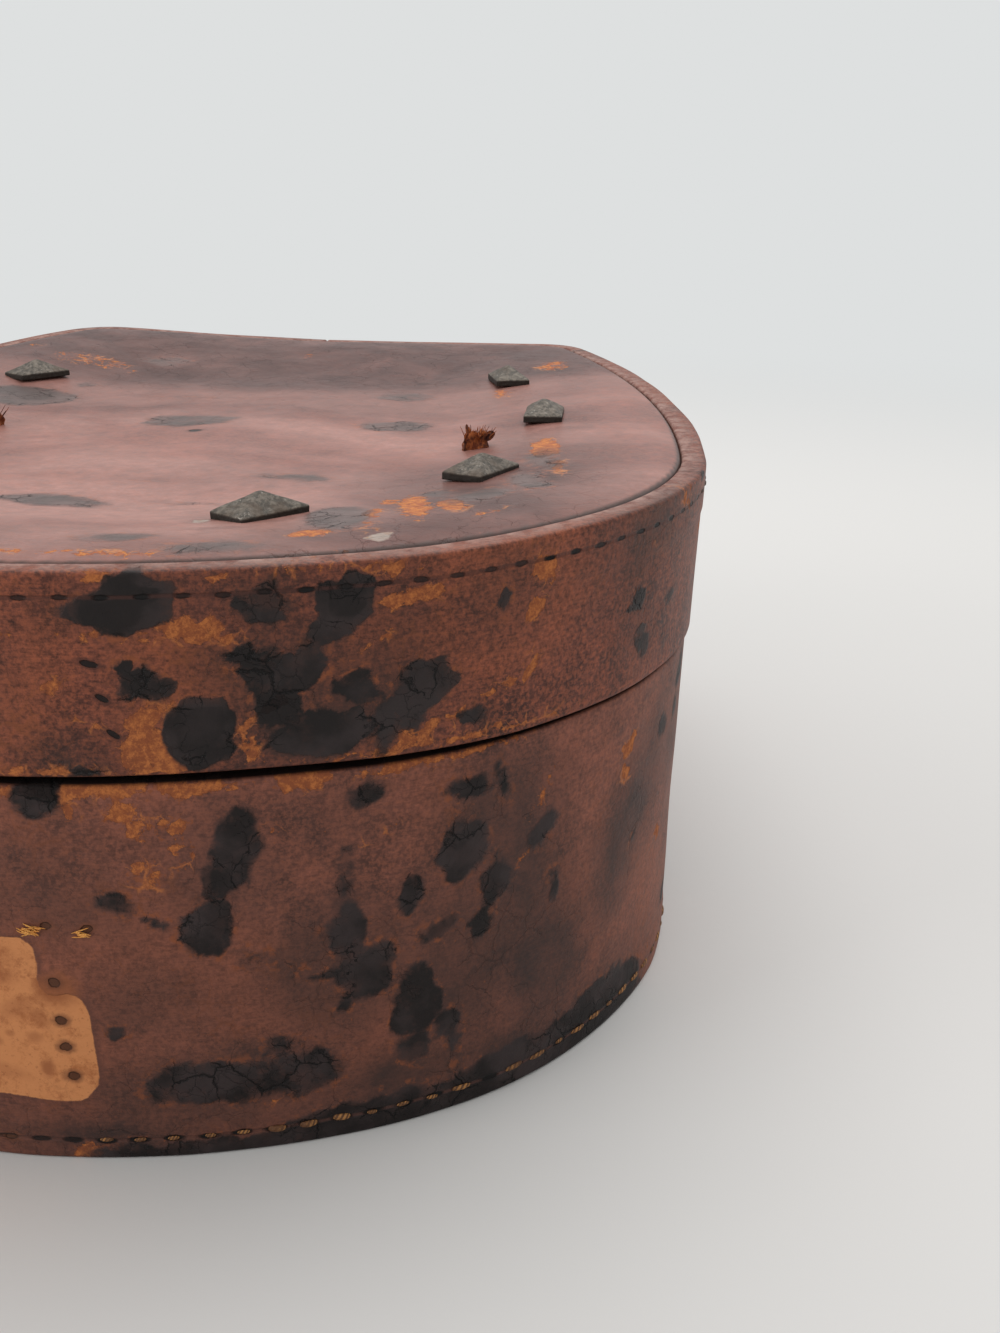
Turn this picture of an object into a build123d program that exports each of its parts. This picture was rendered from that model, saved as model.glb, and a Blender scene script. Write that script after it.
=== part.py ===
from build123d import *
import math
import os

os.makedirs("parts", exist_ok=True)

# A horseshoe-shaped collar box of stitched hide, in millimetres. Seen from above its rounded
# toe points to -Y and its flat heel, where the leather hinge is, to +Y. It stands on Z = 0.

# The plan outline: a broad toe arc, a tighter quarter arc on each side, then a long flank arc
base_depth = 205.0
toe_radius = 112.8
quarter_radius = 71.8
flank_radius = 315.8
heel_corner_radius = 12.0
toe_half_angle = 24.5
quarter_end_angle = 91.0

# Heights, from the table up
base_height = 56.5
lid_gap = 0.8
lid_height = 26.8

# The lid is a little larger than the base all round, but flush with it at the heel
lid_overhang = 2.2

# Hide of the walls and of the two panels, whose edges are folded into a flange
wall_thickness = 3.2
panel_thickness = 2.2
flange_height = 6.0
fold_bevel = 1.2
wall_edge_bevel = 0.5

# Clearance between pieces of one body that are glued or sewn face to face
glue_gap = 0.1

# Boards, cards and cloth inside
floor_board_thickness = 2.0
floor_lining_thickness = 0.8
neck_card_thickness = 2.1
wall_lining_thickness = 0.6
lid_card_thickness = 1.6
lid_lining_thickness = 0.8
lid_wall_lining_thickness = 1.2
lining_setback = 0.5

# The neck stands up out of the base inside the lid, and stops short of the hinge
neck_height = 7.0
neck_heel_setback = 24.0
neck_heel_drop = 1.0
binding_thickness = 0.5

# Stitch lines: a cut channel with the seam thread laid in it
base_seam_rise = 3.3
lid_seam_drop = 3.0
channel_width = 0.9
channel_depth = 0.5
thread_clearance = 0.06

# The two open ends of each wall strip butt together at the middle of the heel
butt_gap = 0.3

# Hinge strip, sewn to the outside of the heel
hinge_width = 92.0
hinge_thickness = 1.6
hinge_leaf_height = 17.0
hinge_corner_radius = 4.0
hinge_fold_gap = 0.2
hinge_seam_inset = 2.4

# Nails on the lid: oblong pyramid heads on flat shanks, with their tails bent over inside
nail_length = 11.6
nail_width = 7.0
nail_skirt = 1.1
nail_rise = 2.0
nail_tip = 0.8
shank_width = 2.2
shank_thickness = 1.2
tail_length = 5.0
tail_thickness = 0.8
# Each nail's place: share of the half width, share of the depth from the toe, and its turn
nail_place_shares = {
    "right_toe": (0.341, 0.159, 54),
    "right_quarter": (0.638, 0.314, 65),
    "right_flank": (0.712, 0.535, 92),
    "right_heel": (0.582, 0.742, 106),
    "left_toe": (-0.341, 0.159, -54),
    "left_quarter": (-0.638, 0.314, -65),
    "left_flank": (-0.712, 0.52, -92),
    "left_heel": (-0.572, 0.708, -124),
}

# What is left of the torn-off handle: a strap end in a slot, anchored by a flap inside
handle_place_shares = {"right": (0.594, 0.42), "left": (-0.456, 0.48)}
stub_width = 6.6
stub_thickness = 3.0
stub_rise = 3.4
stub_tear_shares = ((-0.5, 0.45), (-0.28, 1.0), (-0.02, 0.55), (0.2, 0.9), (0.5, 0.35))
flap_length = 20.0
flap_width = 9.0

# One overrun serves every cut that has to pass right through
overrun = 5.0

# Places worked out from the sizes above
total_depth = lid_overhang + base_depth + hinge_thickness
toe_y = -total_depth / 2 + lid_overhang
heel_y = toe_y + base_depth
lid_bottom = base_height + lid_gap
lid_top = lid_bottom + lid_height
neck_top = base_height + neck_height
fold_level = base_height + lid_gap / 2
floor_top = panel_thickness + floor_board_thickness
panel_under = lid_top - panel_thickness
card_under = panel_under - lid_card_thickness
tail_centre_y = (tail_length - shank_thickness) / 2
flap_reach = (flap_length - stub_width) / 2

# How far each layer's outer face lies inside the base outline (base) or the lid outline (lid)
base_inner = -wall_thickness - glue_gap
neck_card_inner = base_inner - neck_card_thickness
lid_inner = lid_overhang - wall_thickness - glue_gap


def heading(angle):
    # Unit vector from an arc's centre, turned by angle from the toe direction
    turn = math.radians(angle)
    return Vector(math.sin(turn), -math.cos(turn))


toe_centre = Vector(0, toe_y + toe_radius)
quarter_centre = toe_centre + heading(toe_half_angle) * (toe_radius - quarter_radius)
flank_centre = quarter_centre + heading(quarter_end_angle) * (quarter_radius - flank_radius)
half_width = quarter_centre.X + quarter_radius


def horseshoe(grow, heel_grow):
    # The plan outline as a face, moved outwards by grow, and by heel_grow at the heel
    flank = flank_radius + grow
    heel = heel_y + heel_grow
    flank_end_angle = math.degrees(math.acos((flank_centre.Y - heel) / flank))
    toe_arc = CenterArc(toe_centre, toe_radius + grow, -90 - toe_half_angle, 2 * toe_half_angle)
    quarter_arc = CenterArc(
        quarter_centre,
        quarter_radius + grow,
        toe_half_angle - 90,
        quarter_end_angle - toe_half_angle,
    )
    flank_arc = CenterArc(
        flank_centre, flank, quarter_end_angle - 90, flank_end_angle - quarter_end_angle
    )
    corner = flank_arc @ 1
    heel_line = Line(corner, (-corner.X, corner.Y))
    sides = [quarter_arc, flank_arc]
    mirrored = [mirror(side, about=Plane.YZ) for side in sides]
    face = make_face(Curve() + [toe_arc, *sides, heel_line, *mirrored])
    heel_corners = face.vertices().group_by(Axis.Y)[-1]
    return fillet(heel_corners, heel_corner_radius + min(grow, heel_grow))


def slab(grow, heel_grow, bottom, top):
    return extrude(Pos(0, 0, bottom) * horseshoe(grow, heel_grow), top - bottom)


def band(outer, heel_outer, thickness, bottom, top):
    # A closed wall that follows the outline
    outside = slab(outer, heel_outer, bottom, top)
    return outside - slab(outer - thickness, heel_outer - thickness, bottom - overrun, top + overrun)


def base_band(inset, thickness, bottom, top):
    return band(inset, inset, thickness, bottom, top)


def lid_band(outer, thickness, bottom, top):
    return band(outer, outer - lid_overhang, thickness, bottom, top)


def seam_channel(outer, heel_outer, level):
    low = level - channel_width / 2
    high = level + channel_width / 2
    return band(outer + overrun, heel_outer + overrun, overrun + channel_depth, low, high)


def seam_thread(outer, heel_outer, level):
    # The thread fills its channel, a hair clear of both sides and of the leather's face
    low = level - channel_width / 2 + thread_clearance
    high = level + channel_width / 2 - thread_clearance
    return band(
        outer - thread_clearance,
        heel_outer - thread_clearance,
        channel_depth - 2 * thread_clearance,
        low,
        high,
    )


def butt_joint(bottom, top):
    # The slit between the two ends of a wall strip, at the middle of the heel
    slit = Box(butt_gap, 2 * wall_thickness, top - bottom + 2 * overrun)
    return Pos(0, heel_y, (bottom + top) / 2) * slit


def hide_wall(outer, heel_outer, bottom, top, seam_level):
    wall = band(outer, heel_outer, wall_thickness, bottom, top)
    rims = wall.faces().filter_by(Axis.Z)
    outer_edges = [edge for rim in rims for edge in rim.outer_wire().edges()]
    wall = chamfer(outer_edges, wall_edge_bevel)
    return wall - seam_channel(outer, heel_outer, seam_level) - butt_joint(bottom, top)


def pan(grow, heel_grow):
    # A panel with its edge folded up into a flange, standing on Z = 0
    plate = slab(grow, heel_grow, 0, flange_height)
    plate = chamfer(plate.faces().sort_by(Axis.Z)[0].edges(), fold_bevel)
    hollow = slab(
        grow - panel_thickness,
        heel_grow - panel_thickness,
        panel_thickness,
        flange_height + overrun,
    )
    return plate - hollow


def heel_notch(bottom):
    # Clears the neck away from the hinge
    depth = neck_heel_setback + overrun
    centre_y = heel_y - neck_heel_setback + depth / 2
    height = neck_top + overrun - bottom
    return Pos(0, centre_y, bottom + height / 2) * Box(4 * half_width, depth, height)


def make_base_wall():
    return hide_wall(0, 0, 0, base_height, base_seam_rise)


def make_base_bottom_panel():
    return pan(base_inner, base_inner)


def make_base_floor_board():
    inset = base_inner - panel_thickness - glue_gap
    return slab(inset, inset, panel_thickness, floor_top)


def make_base_floor_lining():
    inset = neck_card_inner - wall_lining_thickness - 2 * glue_gap
    return slab(inset, inset, floor_top, floor_top + floor_lining_thickness)


def make_neck_card():
    card = base_band(base_inner, neck_card_thickness, flange_height, neck_top)
    return card - heel_notch(base_height - neck_heel_drop)


def make_base_wall_lining():
    inset = neck_card_inner - glue_gap
    cloth = base_band(inset, wall_lining_thickness, floor_top, neck_top)
    return cloth - heel_notch(base_height - neck_heel_drop)


def make_neck_binding():
    # A strip folded over the top of the neck, from the wall's rim round to the lining
    outside = base_inner + binding_thickness
    core = neck_card_thickness + wall_lining_thickness + glue_gap
    rim = base_height + glue_gap
    top = neck_top + binding_thickness
    shell = base_band(outside, core + 2 * binding_thickness, rim, top)
    hollow = base_band(base_inner, core, rim - overrun, neck_top)
    return shell - hollow - heel_notch(rim - overrun)


def make_lid_wall():
    return hide_wall(lid_overhang, 0, lid_bottom, lid_top, lid_top - lid_seam_drop)


def nail_places():
    for name, (across, along, turn) in nail_place_shares.items():
        place = Pos(across * half_width, toe_y + along * base_depth, 0)
        yield f"nail_{name}", place * Rot(0, 0, turn)


def handle_places():
    # The flap of each strap end points inwards, to the middle of the lid
    for side, (across, along) in handle_place_shares.items():
        place = Pos(across * half_width, toe_y + along * base_depth, 0)
        inwards = -math.copysign(1, across)
        yield side, place, inwards


def make_nail():
    tip_width = nail_tip * nail_width / nail_length
    x_inset = (nail_length - nail_tip) / 2
    y_inset = (nail_width - tip_width) / 2
    pyramid = Wedge(
        nail_length,
        nail_rise,
        nail_width,
        x_inset,
        y_inset,
        nail_length - x_inset,
        nail_width - y_inset,
    )
    skirt = Box(nail_length, nail_width, nail_skirt)
    shank_height = lid_top - card_under
    shank = Box(shank_width, shank_thickness, shank_height)
    tail = Box(shank_width, tail_length, tail_thickness)
    return (
        Pos(0, 0, lid_top + nail_skirt + nail_rise / 2) * Rot(90, 0, 0) * pyramid
        + Pos(0, 0, lid_top + nail_skirt / 2) * skirt
        + Pos(0, 0, card_under + shank_height / 2) * shank
        + Pos(0, tail_centre_y, card_under + tail_thickness / 2) * tail
    )


def nail_holes():
    # Through-hole for the shank, and the bed that the bent tail presses into the card
    width = shank_width + 2 * glue_gap
    bore = Box(width, shank_thickness + 2 * glue_gap, 2 * (lid_top + overrun - card_under))
    bed_height = tail_thickness + glue_gap
    bed = Box(width, tail_length + 2 * glue_gap, bed_height)
    hole = Pos(0, 0, card_under) * bore + Pos(0, tail_centre_y, card_under + bed_height / 2) * bed
    return [place * hole for _, place in nail_places()]


def make_handle_stub(inwards):
    # The torn strap end, the part of it in the slot, and the flap between panel and lining
    points = [(stub_width * x, stub_rise * z) for x, z in stub_tear_shares]
    corners = [(stub_width / 2, 0), (-stub_width / 2, 0)]
    torn = Plane.XZ * make_face(Polyline(*points, *corners, close=True))
    stump = Pos(0, stub_thickness / 2, lid_top) * extrude(torn, stub_thickness)
    tongue = Box(stub_width, stub_thickness, panel_thickness)
    flap = Box(flap_length, flap_width, lid_card_thickness)
    return (
        stump
        + Pos(0, 0, (panel_under + lid_top) / 2) * tongue
        + Pos(inwards * flap_reach, 0, (card_under + panel_under) / 2) * flap
    )


def handle_slots():
    slot = Box(stub_width + 2 * glue_gap, stub_thickness + 2 * glue_gap, 4 * panel_thickness)
    return [place * Pos(0, 0, lid_top) * slot for _, place, _ in handle_places()]


def flap_windows():
    window = Box(flap_length + 2 * glue_gap, flap_width + 2 * glue_gap, 4 * lid_card_thickness)
    return [
        place * Pos(inwards * flap_reach, 0, card_under) * window
        for _, place, inwards in handle_places()
    ]


def make_lid_top_panel():
    folded_down = mirror(pan(lid_inner, lid_inner - lid_overhang), about=Plane.XY)
    return Pos(0, 0, lid_top) * folded_down - nail_holes() - handle_slots()


def make_lid_top_card():
    outer = lid_inner - panel_thickness - glue_gap
    card = slab(outer, outer - lid_overhang, card_under, panel_under)
    return card - nail_holes() - flap_windows()


def make_lid_top_lining():
    outer = lid_inner - panel_thickness - glue_gap
    return slab(outer, outer - lid_overhang, card_under - lid_lining_thickness, card_under)


def make_lid_wall_lining():
    top = lid_top - flange_height - glue_gap
    return lid_band(lid_inner, lid_wall_lining_thickness, lid_bottom + lining_setback, top)


def leaf_outline(height):
    # Rounded at the two far corners, square along the fold
    leaf = Pos(0, height / 2) * Rectangle(hinge_width, height)
    return fillet(leaf.vertices().group_by(Axis.Y)[-1], hinge_corner_radius)


def leaf_seam(clearance):
    # A stitch line along the far edge and both sides, inset from them
    leaf = leaf_outline(hinge_leaf_height)
    outer = offset(leaf, amount=-hinge_seam_inset - clearance)
    inner = offset(leaf, amount=-hinge_seam_inset - channel_width + clearance)
    margin = hinge_seam_inset + channel_width + clearance
    fold_side = Pos(0, margin / 2) * Rectangle(hinge_width, margin)
    return outer - inner - fold_side


def make_hinge_leaf(upwards):
    # Drawn in the plane of the heel, with the fold at the bottom, then flipped for the base
    leaf = extrude(Plane.XZ * leaf_outline(hinge_leaf_height), -hinge_thickness)
    groove = extrude(Plane.XZ * leaf_seam(0), -hinge_thickness)
    leaf = leaf - Pos(0, hinge_thickness - channel_depth, 0) * groove
    return place_leaf(leaf, upwards)


def make_hinge_thread(upwards):
    depth = channel_depth - 2 * thread_clearance
    thread = extrude(Plane.XZ * leaf_seam(thread_clearance), -depth)
    thread = Pos(0, hinge_thickness - channel_depth + thread_clearance, 0) * thread
    return place_leaf(thread, upwards)


def place_leaf(shape, upwards):
    if upwards:
        return Pos(0, heel_y, fold_level + hinge_fold_gap / 2) * shape
    return Pos(0, heel_y, fold_level - hinge_fold_gap / 2) * mirror(shape, about=Plane.XY)


def make_parts():
    parts = {
        "base_wall": make_base_wall(),
        "base_bottom_panel": make_base_bottom_panel(),
        "base_seam_thread": seam_thread(0, 0, base_seam_rise),
        "base_floor_board": make_base_floor_board(),
        "base_floor_lining": make_base_floor_lining(),
        "neck_card": make_neck_card(),
        "base_wall_lining": make_base_wall_lining(),
        "neck_binding": make_neck_binding(),
        "hinge_base_leaf": make_hinge_leaf(False),
        "hinge_base_thread": make_hinge_thread(False),
        "lid_wall": make_lid_wall(),
        "lid_top_panel": make_lid_top_panel(),
        "lid_seam_thread": seam_thread(lid_overhang, 0, lid_top - lid_seam_drop),
        "lid_top_card": make_lid_top_card(),
        "lid_top_lining": make_lid_top_lining(),
        "lid_wall_lining": make_lid_wall_lining(),
        "hinge_lid_leaf": make_hinge_leaf(True),
        "hinge_lid_thread": make_hinge_thread(True),
    }
    nail = make_nail()
    for name, place in nail_places():
        parts[name] = place * nail
    for side, place, inwards in handle_places():
        parts[f"handle_stub_{side}"] = place * make_handle_stub(inwards)
    return parts


for name, shape in make_parts().items():
    export_step(shape, f"parts/{name}.step")
    print(name, round(shape.volume, 1))
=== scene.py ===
import bpy
import bmesh
import math
import random
import numpy as np
from mathutils import Matrix, Vector, noise
from mathutils.bvhtree import BVHTree


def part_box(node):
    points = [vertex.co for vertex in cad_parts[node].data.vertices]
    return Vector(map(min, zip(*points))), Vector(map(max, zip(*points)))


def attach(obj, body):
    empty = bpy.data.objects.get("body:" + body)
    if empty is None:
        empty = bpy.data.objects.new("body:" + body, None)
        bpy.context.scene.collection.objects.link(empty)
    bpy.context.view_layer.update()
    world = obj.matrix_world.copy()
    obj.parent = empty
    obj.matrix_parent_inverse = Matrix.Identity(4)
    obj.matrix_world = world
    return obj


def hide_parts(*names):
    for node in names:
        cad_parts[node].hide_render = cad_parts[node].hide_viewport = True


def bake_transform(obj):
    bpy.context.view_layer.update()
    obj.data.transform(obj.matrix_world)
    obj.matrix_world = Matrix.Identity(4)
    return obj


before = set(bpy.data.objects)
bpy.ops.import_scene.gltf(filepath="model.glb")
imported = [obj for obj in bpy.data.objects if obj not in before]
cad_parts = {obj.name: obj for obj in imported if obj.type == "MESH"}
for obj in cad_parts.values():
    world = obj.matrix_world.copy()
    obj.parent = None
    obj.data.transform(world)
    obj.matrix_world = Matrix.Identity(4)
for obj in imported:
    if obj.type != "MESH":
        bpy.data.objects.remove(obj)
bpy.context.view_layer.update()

bpy.ops.object.select_all(action="DESELECT")
scene = bpy.context.scene
scene.view_settings.view_transform = "Standard"
mm = 0.001
print("frame loaded")

# Camera at the photograph's place, lens for the 1000 x 1333 frame
cameraSet = {"place": (0.08282, -0.24938, 0.12748), "turn": 6.21, "down": 19.738, "roll": 0.323, "lens": 37.34}

bpy.ops.object.camera_add(location=cameraSet["place"])
camera = bpy.context.object
aim = (Matrix.Rotation(math.radians(cameraSet["turn"]), 4, "Z")
       @ Matrix.Rotation(math.radians(90 - cameraSet["down"]), 4, "X")
       @ Matrix.Rotation(math.radians(cameraSet["roll"]), 4, "Z"))
camera.rotation_euler = aim.to_euler()
camera.data.lens = cameraSet["lens"]
camera.data.clip_start = 0.01
scene.camera = camera

# The plan outline of the box, from the toe round to the heel
outline = {"toe": 112.8 * mm, "quarter": 71.8 * mm, "flank": 315.8 * mm, "corner": 12 * mm,
           "toeTurn": 24.5, "quarterTurn": 91.0, "lidGrow": 2.2 * mm}
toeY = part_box("base_wall")[0][1]
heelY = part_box("base_wall")[1][1]
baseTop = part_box("base_wall")[1][2]
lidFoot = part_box("lid_wall")[0][2]
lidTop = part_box("lid_wall")[1][2]


def heading(turn):
    return Vector((math.sin(turn), -math.cos(turn)))


def planRoute(grow, heelGrow):
    # Arcs (centre, radius, start, end) from the toe round to the heel, then the straight heel
    toeTurn, quarterTurn = math.radians(outline["toeTurn"]), math.radians(outline["quarterTurn"])
    toeCentre = Vector((0, toeY + outline["toe"]))
    quarterCentre = toeCentre + heading(toeTurn) * (outline["toe"] - outline["quarter"])
    flankCentre = quarterCentre + heading(quarterTurn) * (outline["quarter"] - outline["flank"])
    corner = outline["corner"] + min(grow, heelGrow)
    cornerY = heelY + heelGrow - corner
    reach = outline["flank"] + grow - corner
    cornerX = flankCentre.x + math.sqrt(reach ** 2 - (cornerY - flankCentre.y) ** 2)
    flankTurn = math.atan2(cornerX - flankCentre.x, flankCentre.y - cornerY)
    arcs = [(toeCentre, outline["toe"] + grow, 0, toeTurn),
            (quarterCentre, outline["quarter"] + grow, toeTurn, quarterTurn),
            (flankCentre, outline["flank"] + grow, quarterTurn, flankTurn),
            (Vector((cornerX, cornerY)), corner, flankTurn, math.pi)]
    return {"arcs": arcs, "heelX": cornerX, "heelY": heelY + heelGrow,
            "half": sum(r * (t1 - t0) for c, r, t0, t1 in arcs) + cornerX}


def routePoint(route, s):
    # Point and outward direction at the distance s from the toe, negative to the left
    side, rest = (-1 if s < 0 else 1), abs(s)
    for centre, radius, start, end in route["arcs"]:
        length = radius * (end - start)
        if rest <= length:
            out = heading(start + rest / radius)
            spot = centre + out * radius
            return Vector((side * spot.x, spot.y)), Vector((side * out.x, out.y))
        rest -= length
    return Vector((side * (route["heelX"] - rest), route["heelY"])), Vector((0, 1))


baseRoute = planRoute(0, 0)
lidRoute = planRoute(outline["lidGrow"], 0)


def ease(value, low, high):
    share = np.clip((value - low) / (high - low), 0, 1)
    return share * share * (3 - 2 * share)


# The lid has warped: its rim rises to the heel, most of all at the rear left corner
lidWarp = {"heelRise": 2.6 * mm, "cornerRise": 2.3 * mm, "dish": 3.2 * mm, "dishStart": 9 * mm, "dishEnd": 52 * mm}


def rimRise(x, y):
    share = np.clip((y - toeY) / (heelY - toeY), 0, 1.05)
    corner = ease(-x, -0.004, 0.062) * ease(y, 0.02, 0.1)
    return lidWarp["heelRise"] * share ** 2 + lidWarp["cornerRise"] * corner


rimSpots = np.array([routePoint(lidRoute, s)[0][:] for s in np.linspace(-lidRoute["half"], lidRoute["half"], 220)])


def edgeDistance(x, y):
    x, y = np.atleast_1d(x), np.atleast_1d(y)
    return np.sqrt(((x[:, None] - rimSpots[:, 0]) ** 2 + (y[:, None] - rimSpots[:, 1]) ** 2).min(axis=1))


def wave(x, y, z, size, seed=0.0):
    return noise.noise(Vector((x / size + seed, y / size - seed, z / size + 2 * seed)))


def dishDrop(x, y):
    return lidWarp["dish"] * ease(edgeDistance(x, y), lidWarp["dishStart"], lidWarp["dishEnd"])


def getPlaces(piece):
    flat = np.empty(len(piece.data.vertices) * 3)
    piece.data.vertices.foreach_get("co", flat)
    return flat.reshape(-1, 3)


def setPlaces(piece, places):
    piece.data.vertices.foreach_set("co", np.ascontiguousarray(places).ravel())
    piece.data.update()


def riseLid(piece):
    # The warp fades to nothing at the lid's lower edge
    places = getPlaces(piece)
    share = np.clip((places[:, 2] - lidFoot) / (lidTop - lidFoot), 0, 1.1)
    places[:, 2] += rimRise(places[:, 0], places[:, 1]) * share
    setPlaces(piece, places)


def applyModifier(piece, kind, **settings):
    modifier = piece.modifiers.new(kind.title(), kind)
    for key, value in settings.items():
        setattr(modifier, key, value)
    bpy.context.view_layer.objects.active = piece
    bpy.ops.object.modifier_apply(modifier=modifier.name)


def only(piece):
    bpy.ops.object.select_all(action="DESELECT")
    piece.select_set(True)
    bpy.context.view_layer.objects.active = piece


def placeInMesh(piece):
    only(piece)
    bpy.ops.object.transform_apply(location=True, rotation=True, scale=True)


def joinPieces(name, pieces):
    bpy.ops.object.select_all(action="DESELECT")
    for piece in pieces:
        piece.select_set(True)
    bpy.context.view_layer.objects.active = pieces[0]
    bpy.ops.object.join()
    joined = bpy.context.object
    joined.name = joined.data.name = name
    placeInMesh(joined)
    return joined


def copyPiece(piece, place):
    copied = piece.copy()
    copied.data = piece.data.copy()
    copied.matrix_world = place
    scene.collection.objects.link(copied)
    return copied


def smoothShade(piece, angle=40):
    only(piece)
    bpy.ops.object.shade_smooth_by_angle(angle=math.radians(angle))


def settle(piece, material, body, nodes):
    # Material, body, and the CAD nodes that the piece stands for
    piece.data.materials.clear()
    piece.data.materials.append(material)
    if body:
        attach(piece, body)
    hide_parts(*nodes)


def flatSheet(name, length, bottom, top, step):
    # A flat grid that stands on its edge and faces -Y: X along it, Z up
    bpy.ops.mesh.primitive_grid_add(x_subdivisions=round(length / step),
                                    y_subdivisions=max(2, round((top - bottom) / step)), size=1,
                                    location=(0, 0, (bottom + top) / 2), rotation=(math.pi / 2, 0, 0))
    sheet = bpy.context.object
    sheet.name = sheet.data.name = name
    sheet.scale = (length, top - bottom, 1)
    placeInMesh(sheet)
    return sheet


def storeFlatPlace(piece, order=(0, 1, 2)):
    # Keeps the unrolled place of each point for the marks and for the materials
    places = getPlaces(piece)[:, order]
    kept = piece.data.attributes.new("flatPlace", "FLOAT_VECTOR", "POINT")
    kept.data.foreach_set("vector", np.ascontiguousarray(places).ravel().astype(np.float32))


def bendRound(piece, route, flare=None):
    # Bends a flat strip round the outline; -Y becomes outwards, and only the outer face flares
    places = getPlaces(piece)
    deepest = max(places[:, 1].max(), 1e-6)
    bottom, top = places[:, 2].min(), places[:, 2].max()
    for i, (s, depth, z) in enumerate(places):
        spot, out = routePoint(route, s)
        grow = -depth
        if flare:
            heelFade = 1 - float(ease(abs(s), route["half"] - 0.085, route["half"] - 0.045))
            share = (z - bottom) / (top - bottom)
            outer = 1 - depth / deepest
            ripple = (0.35 * mm * wave(s, z, 0, 0.034) + 0.18 * mm * wave(s, z, 3, 0.011)) * (0.3 + 0.7 * heelFade)
            ridge = flare[2] * float(ease(z, lidTop - 7.6 * mm, lidTop - 6.6 * mm) + ease(-z, -6.8 * mm, -5.8 * mm))
            grow += outer * (heelFade * (flare[0] + (flare[1] - flare[0]) * share + ridge) + ripple)
            z += 0.22 * mm * wave(s, 0, 5, 0.03) * (1 if share > 0.5 else 0.4 * (bottom > 0.01))
        places[i] = (spot.x + out.x * grow, spot.y + out.y * grow, z)
    setPlaces(piece, places)


def ovalMask(x, z, marks, soft):
    # 1 inside, 0.5 on the edge, 0 outside: each mark is (x, z, half length, half height, turn, strength)
    mask = np.zeros(len(x))
    for mark in marks:
        cx, cz, rx, rz = mark[:4]
        turn = math.radians(mark[4]) if len(mark) > 4 else 0
        strength = mark[5] if len(mark) > 5 else 1
        dx, dz = x - cx, z - cz
        u = (dx * math.cos(turn) + dz * math.sin(turn)) / rx
        v = (dz * math.cos(turn) - dx * math.sin(turn)) / rz
        edge = (1 - np.sqrt(u * u + v * v)) * min(rx, rz)
        mask = np.maximum(mask, strength * np.clip(0.5 + edge / (2 * soft), 0, 1))
    return mask


def strayed(x, z, amount, size):
    # Moves the places a little, so that the marks painted by them get uneven outlines
    moved = []
    for seed in (7, 21):
        coarse = np.array([noise.noise(Vector((a / size, b / size, seed))) for a, b in zip(x, z)])
        fine = np.array([noise.noise(Vector((2.3 * a / size, 2.3 * b / size, seed + 4))) for a, b in zip(x, z)])
        moved.append(amount * (coarse + 0.5 * fine))
    return x + moved[0], z + moved[1]


def shapeMask(x, z, corners, soft):
    # The same for a shape with corners
    inside = np.zeros(len(x), bool)
    nearest = np.full(len(x), 1e3)
    for (ax, az), (bx, bz) in zip(corners, corners[1:] + corners[:1]):
        crosses = ((az > z) != (bz > z)) & (x < (bx - ax) * (z - az) / (bz - az + 1e-9) + ax)
        inside ^= crosses
        share = np.clip(((x - ax) * (bx - ax) + (z - az) * (bz - az)) / ((bx - ax) ** 2 + (bz - az) ** 2), 0, 1)
        nearest = np.minimum(nearest, np.hypot(x - ax - share * (bx - ax), z - az - share * (bz - az)))
    return np.clip(0.5 + np.where(inside, nearest, -nearest) / (2 * soft), 0, 1)


def strayMarks(count, seed, xRange, zRange, sizes, skip=None, cluster=3):
    # Marks in small clusters, for the sides that the photograph doesn't show
    draw = random.Random(seed)
    marks = []
    while len(marks) < count:
        x, z = draw.uniform(*xRange), draw.uniform(*zRange)
        size = draw.uniform(*sizes) * draw.uniform(0.5, 1)
        if skip is None or not skip[0] < x < skip[1]:
            for k in range(draw.randint(1, cluster)):
                part = size * draw.uniform(0.4, 1.15)
                marks.append((x, z, part * draw.uniform(0.7, 1.6), part * draw.uniform(0.6, 1), draw.uniform(-60, 60),
                              draw.uniform(0.66, 1)))
                x, z = x + draw.gauss(0, size * 1.1), z + draw.gauss(0, size * 1.1)
    return marks


def paint(piece, stain, scuff, bare, shade, edge, dirtAndShade):
    # Four masks in one colour attribute (tar stains, scuffs, bare leather, soft shade); two more hold the cut edge,
    # partly a painted highlight, and the painted shade in the gaps
    kept = piece.data.attributes.new("marks", "FLOAT_COLOR", "POINT")
    colours = np.stack([stain, scuff, bare, shade], axis=1).astype(np.float32)
    kept.data.foreach_set("color", colours.ravel())
    for name, values in (("cutEdgeAndHighlight", edge), ("gapShade", dirtAndShade)):
        kept = piece.data.attributes.new(name, "FLOAT", "POINT")
        kept.data.foreach_set("value", values.astype(np.float32))


class Value:
    # An output socket that can be reckoned with: each + - * / adds a Math node
    def __init__(self, tree, socket):
        self.tree, self.socket = tree, socket

    def __add__(self, other):
        return self.tree.reckon("ADD", self, other)

    def __radd__(self, other):
        return self.tree.reckon("ADD", other, self)

    def __sub__(self, other):
        return self.tree.reckon("SUBTRACT", self, other)

    def __rsub__(self, other):
        return self.tree.reckon("SUBTRACT", other, self)

    def __mul__(self, other):
        return self.tree.reckon("MULTIPLY", self, other)

    def __rmul__(self, other):
        return self.tree.reckon("MULTIPLY", other, self)

    def __truediv__(self, other):
        return self.tree.reckon("DIVIDE", self, other)

    def clamped(self):
        self.socket.node.use_clamp = True
        return self


class Outputs:
    # The outputs of one node, by name or number
    def __init__(self, tree, node):
        self.tree, self.node = tree, node

    def __getitem__(self, key):
        return Value(self.tree, self.node.outputs[key])


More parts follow.
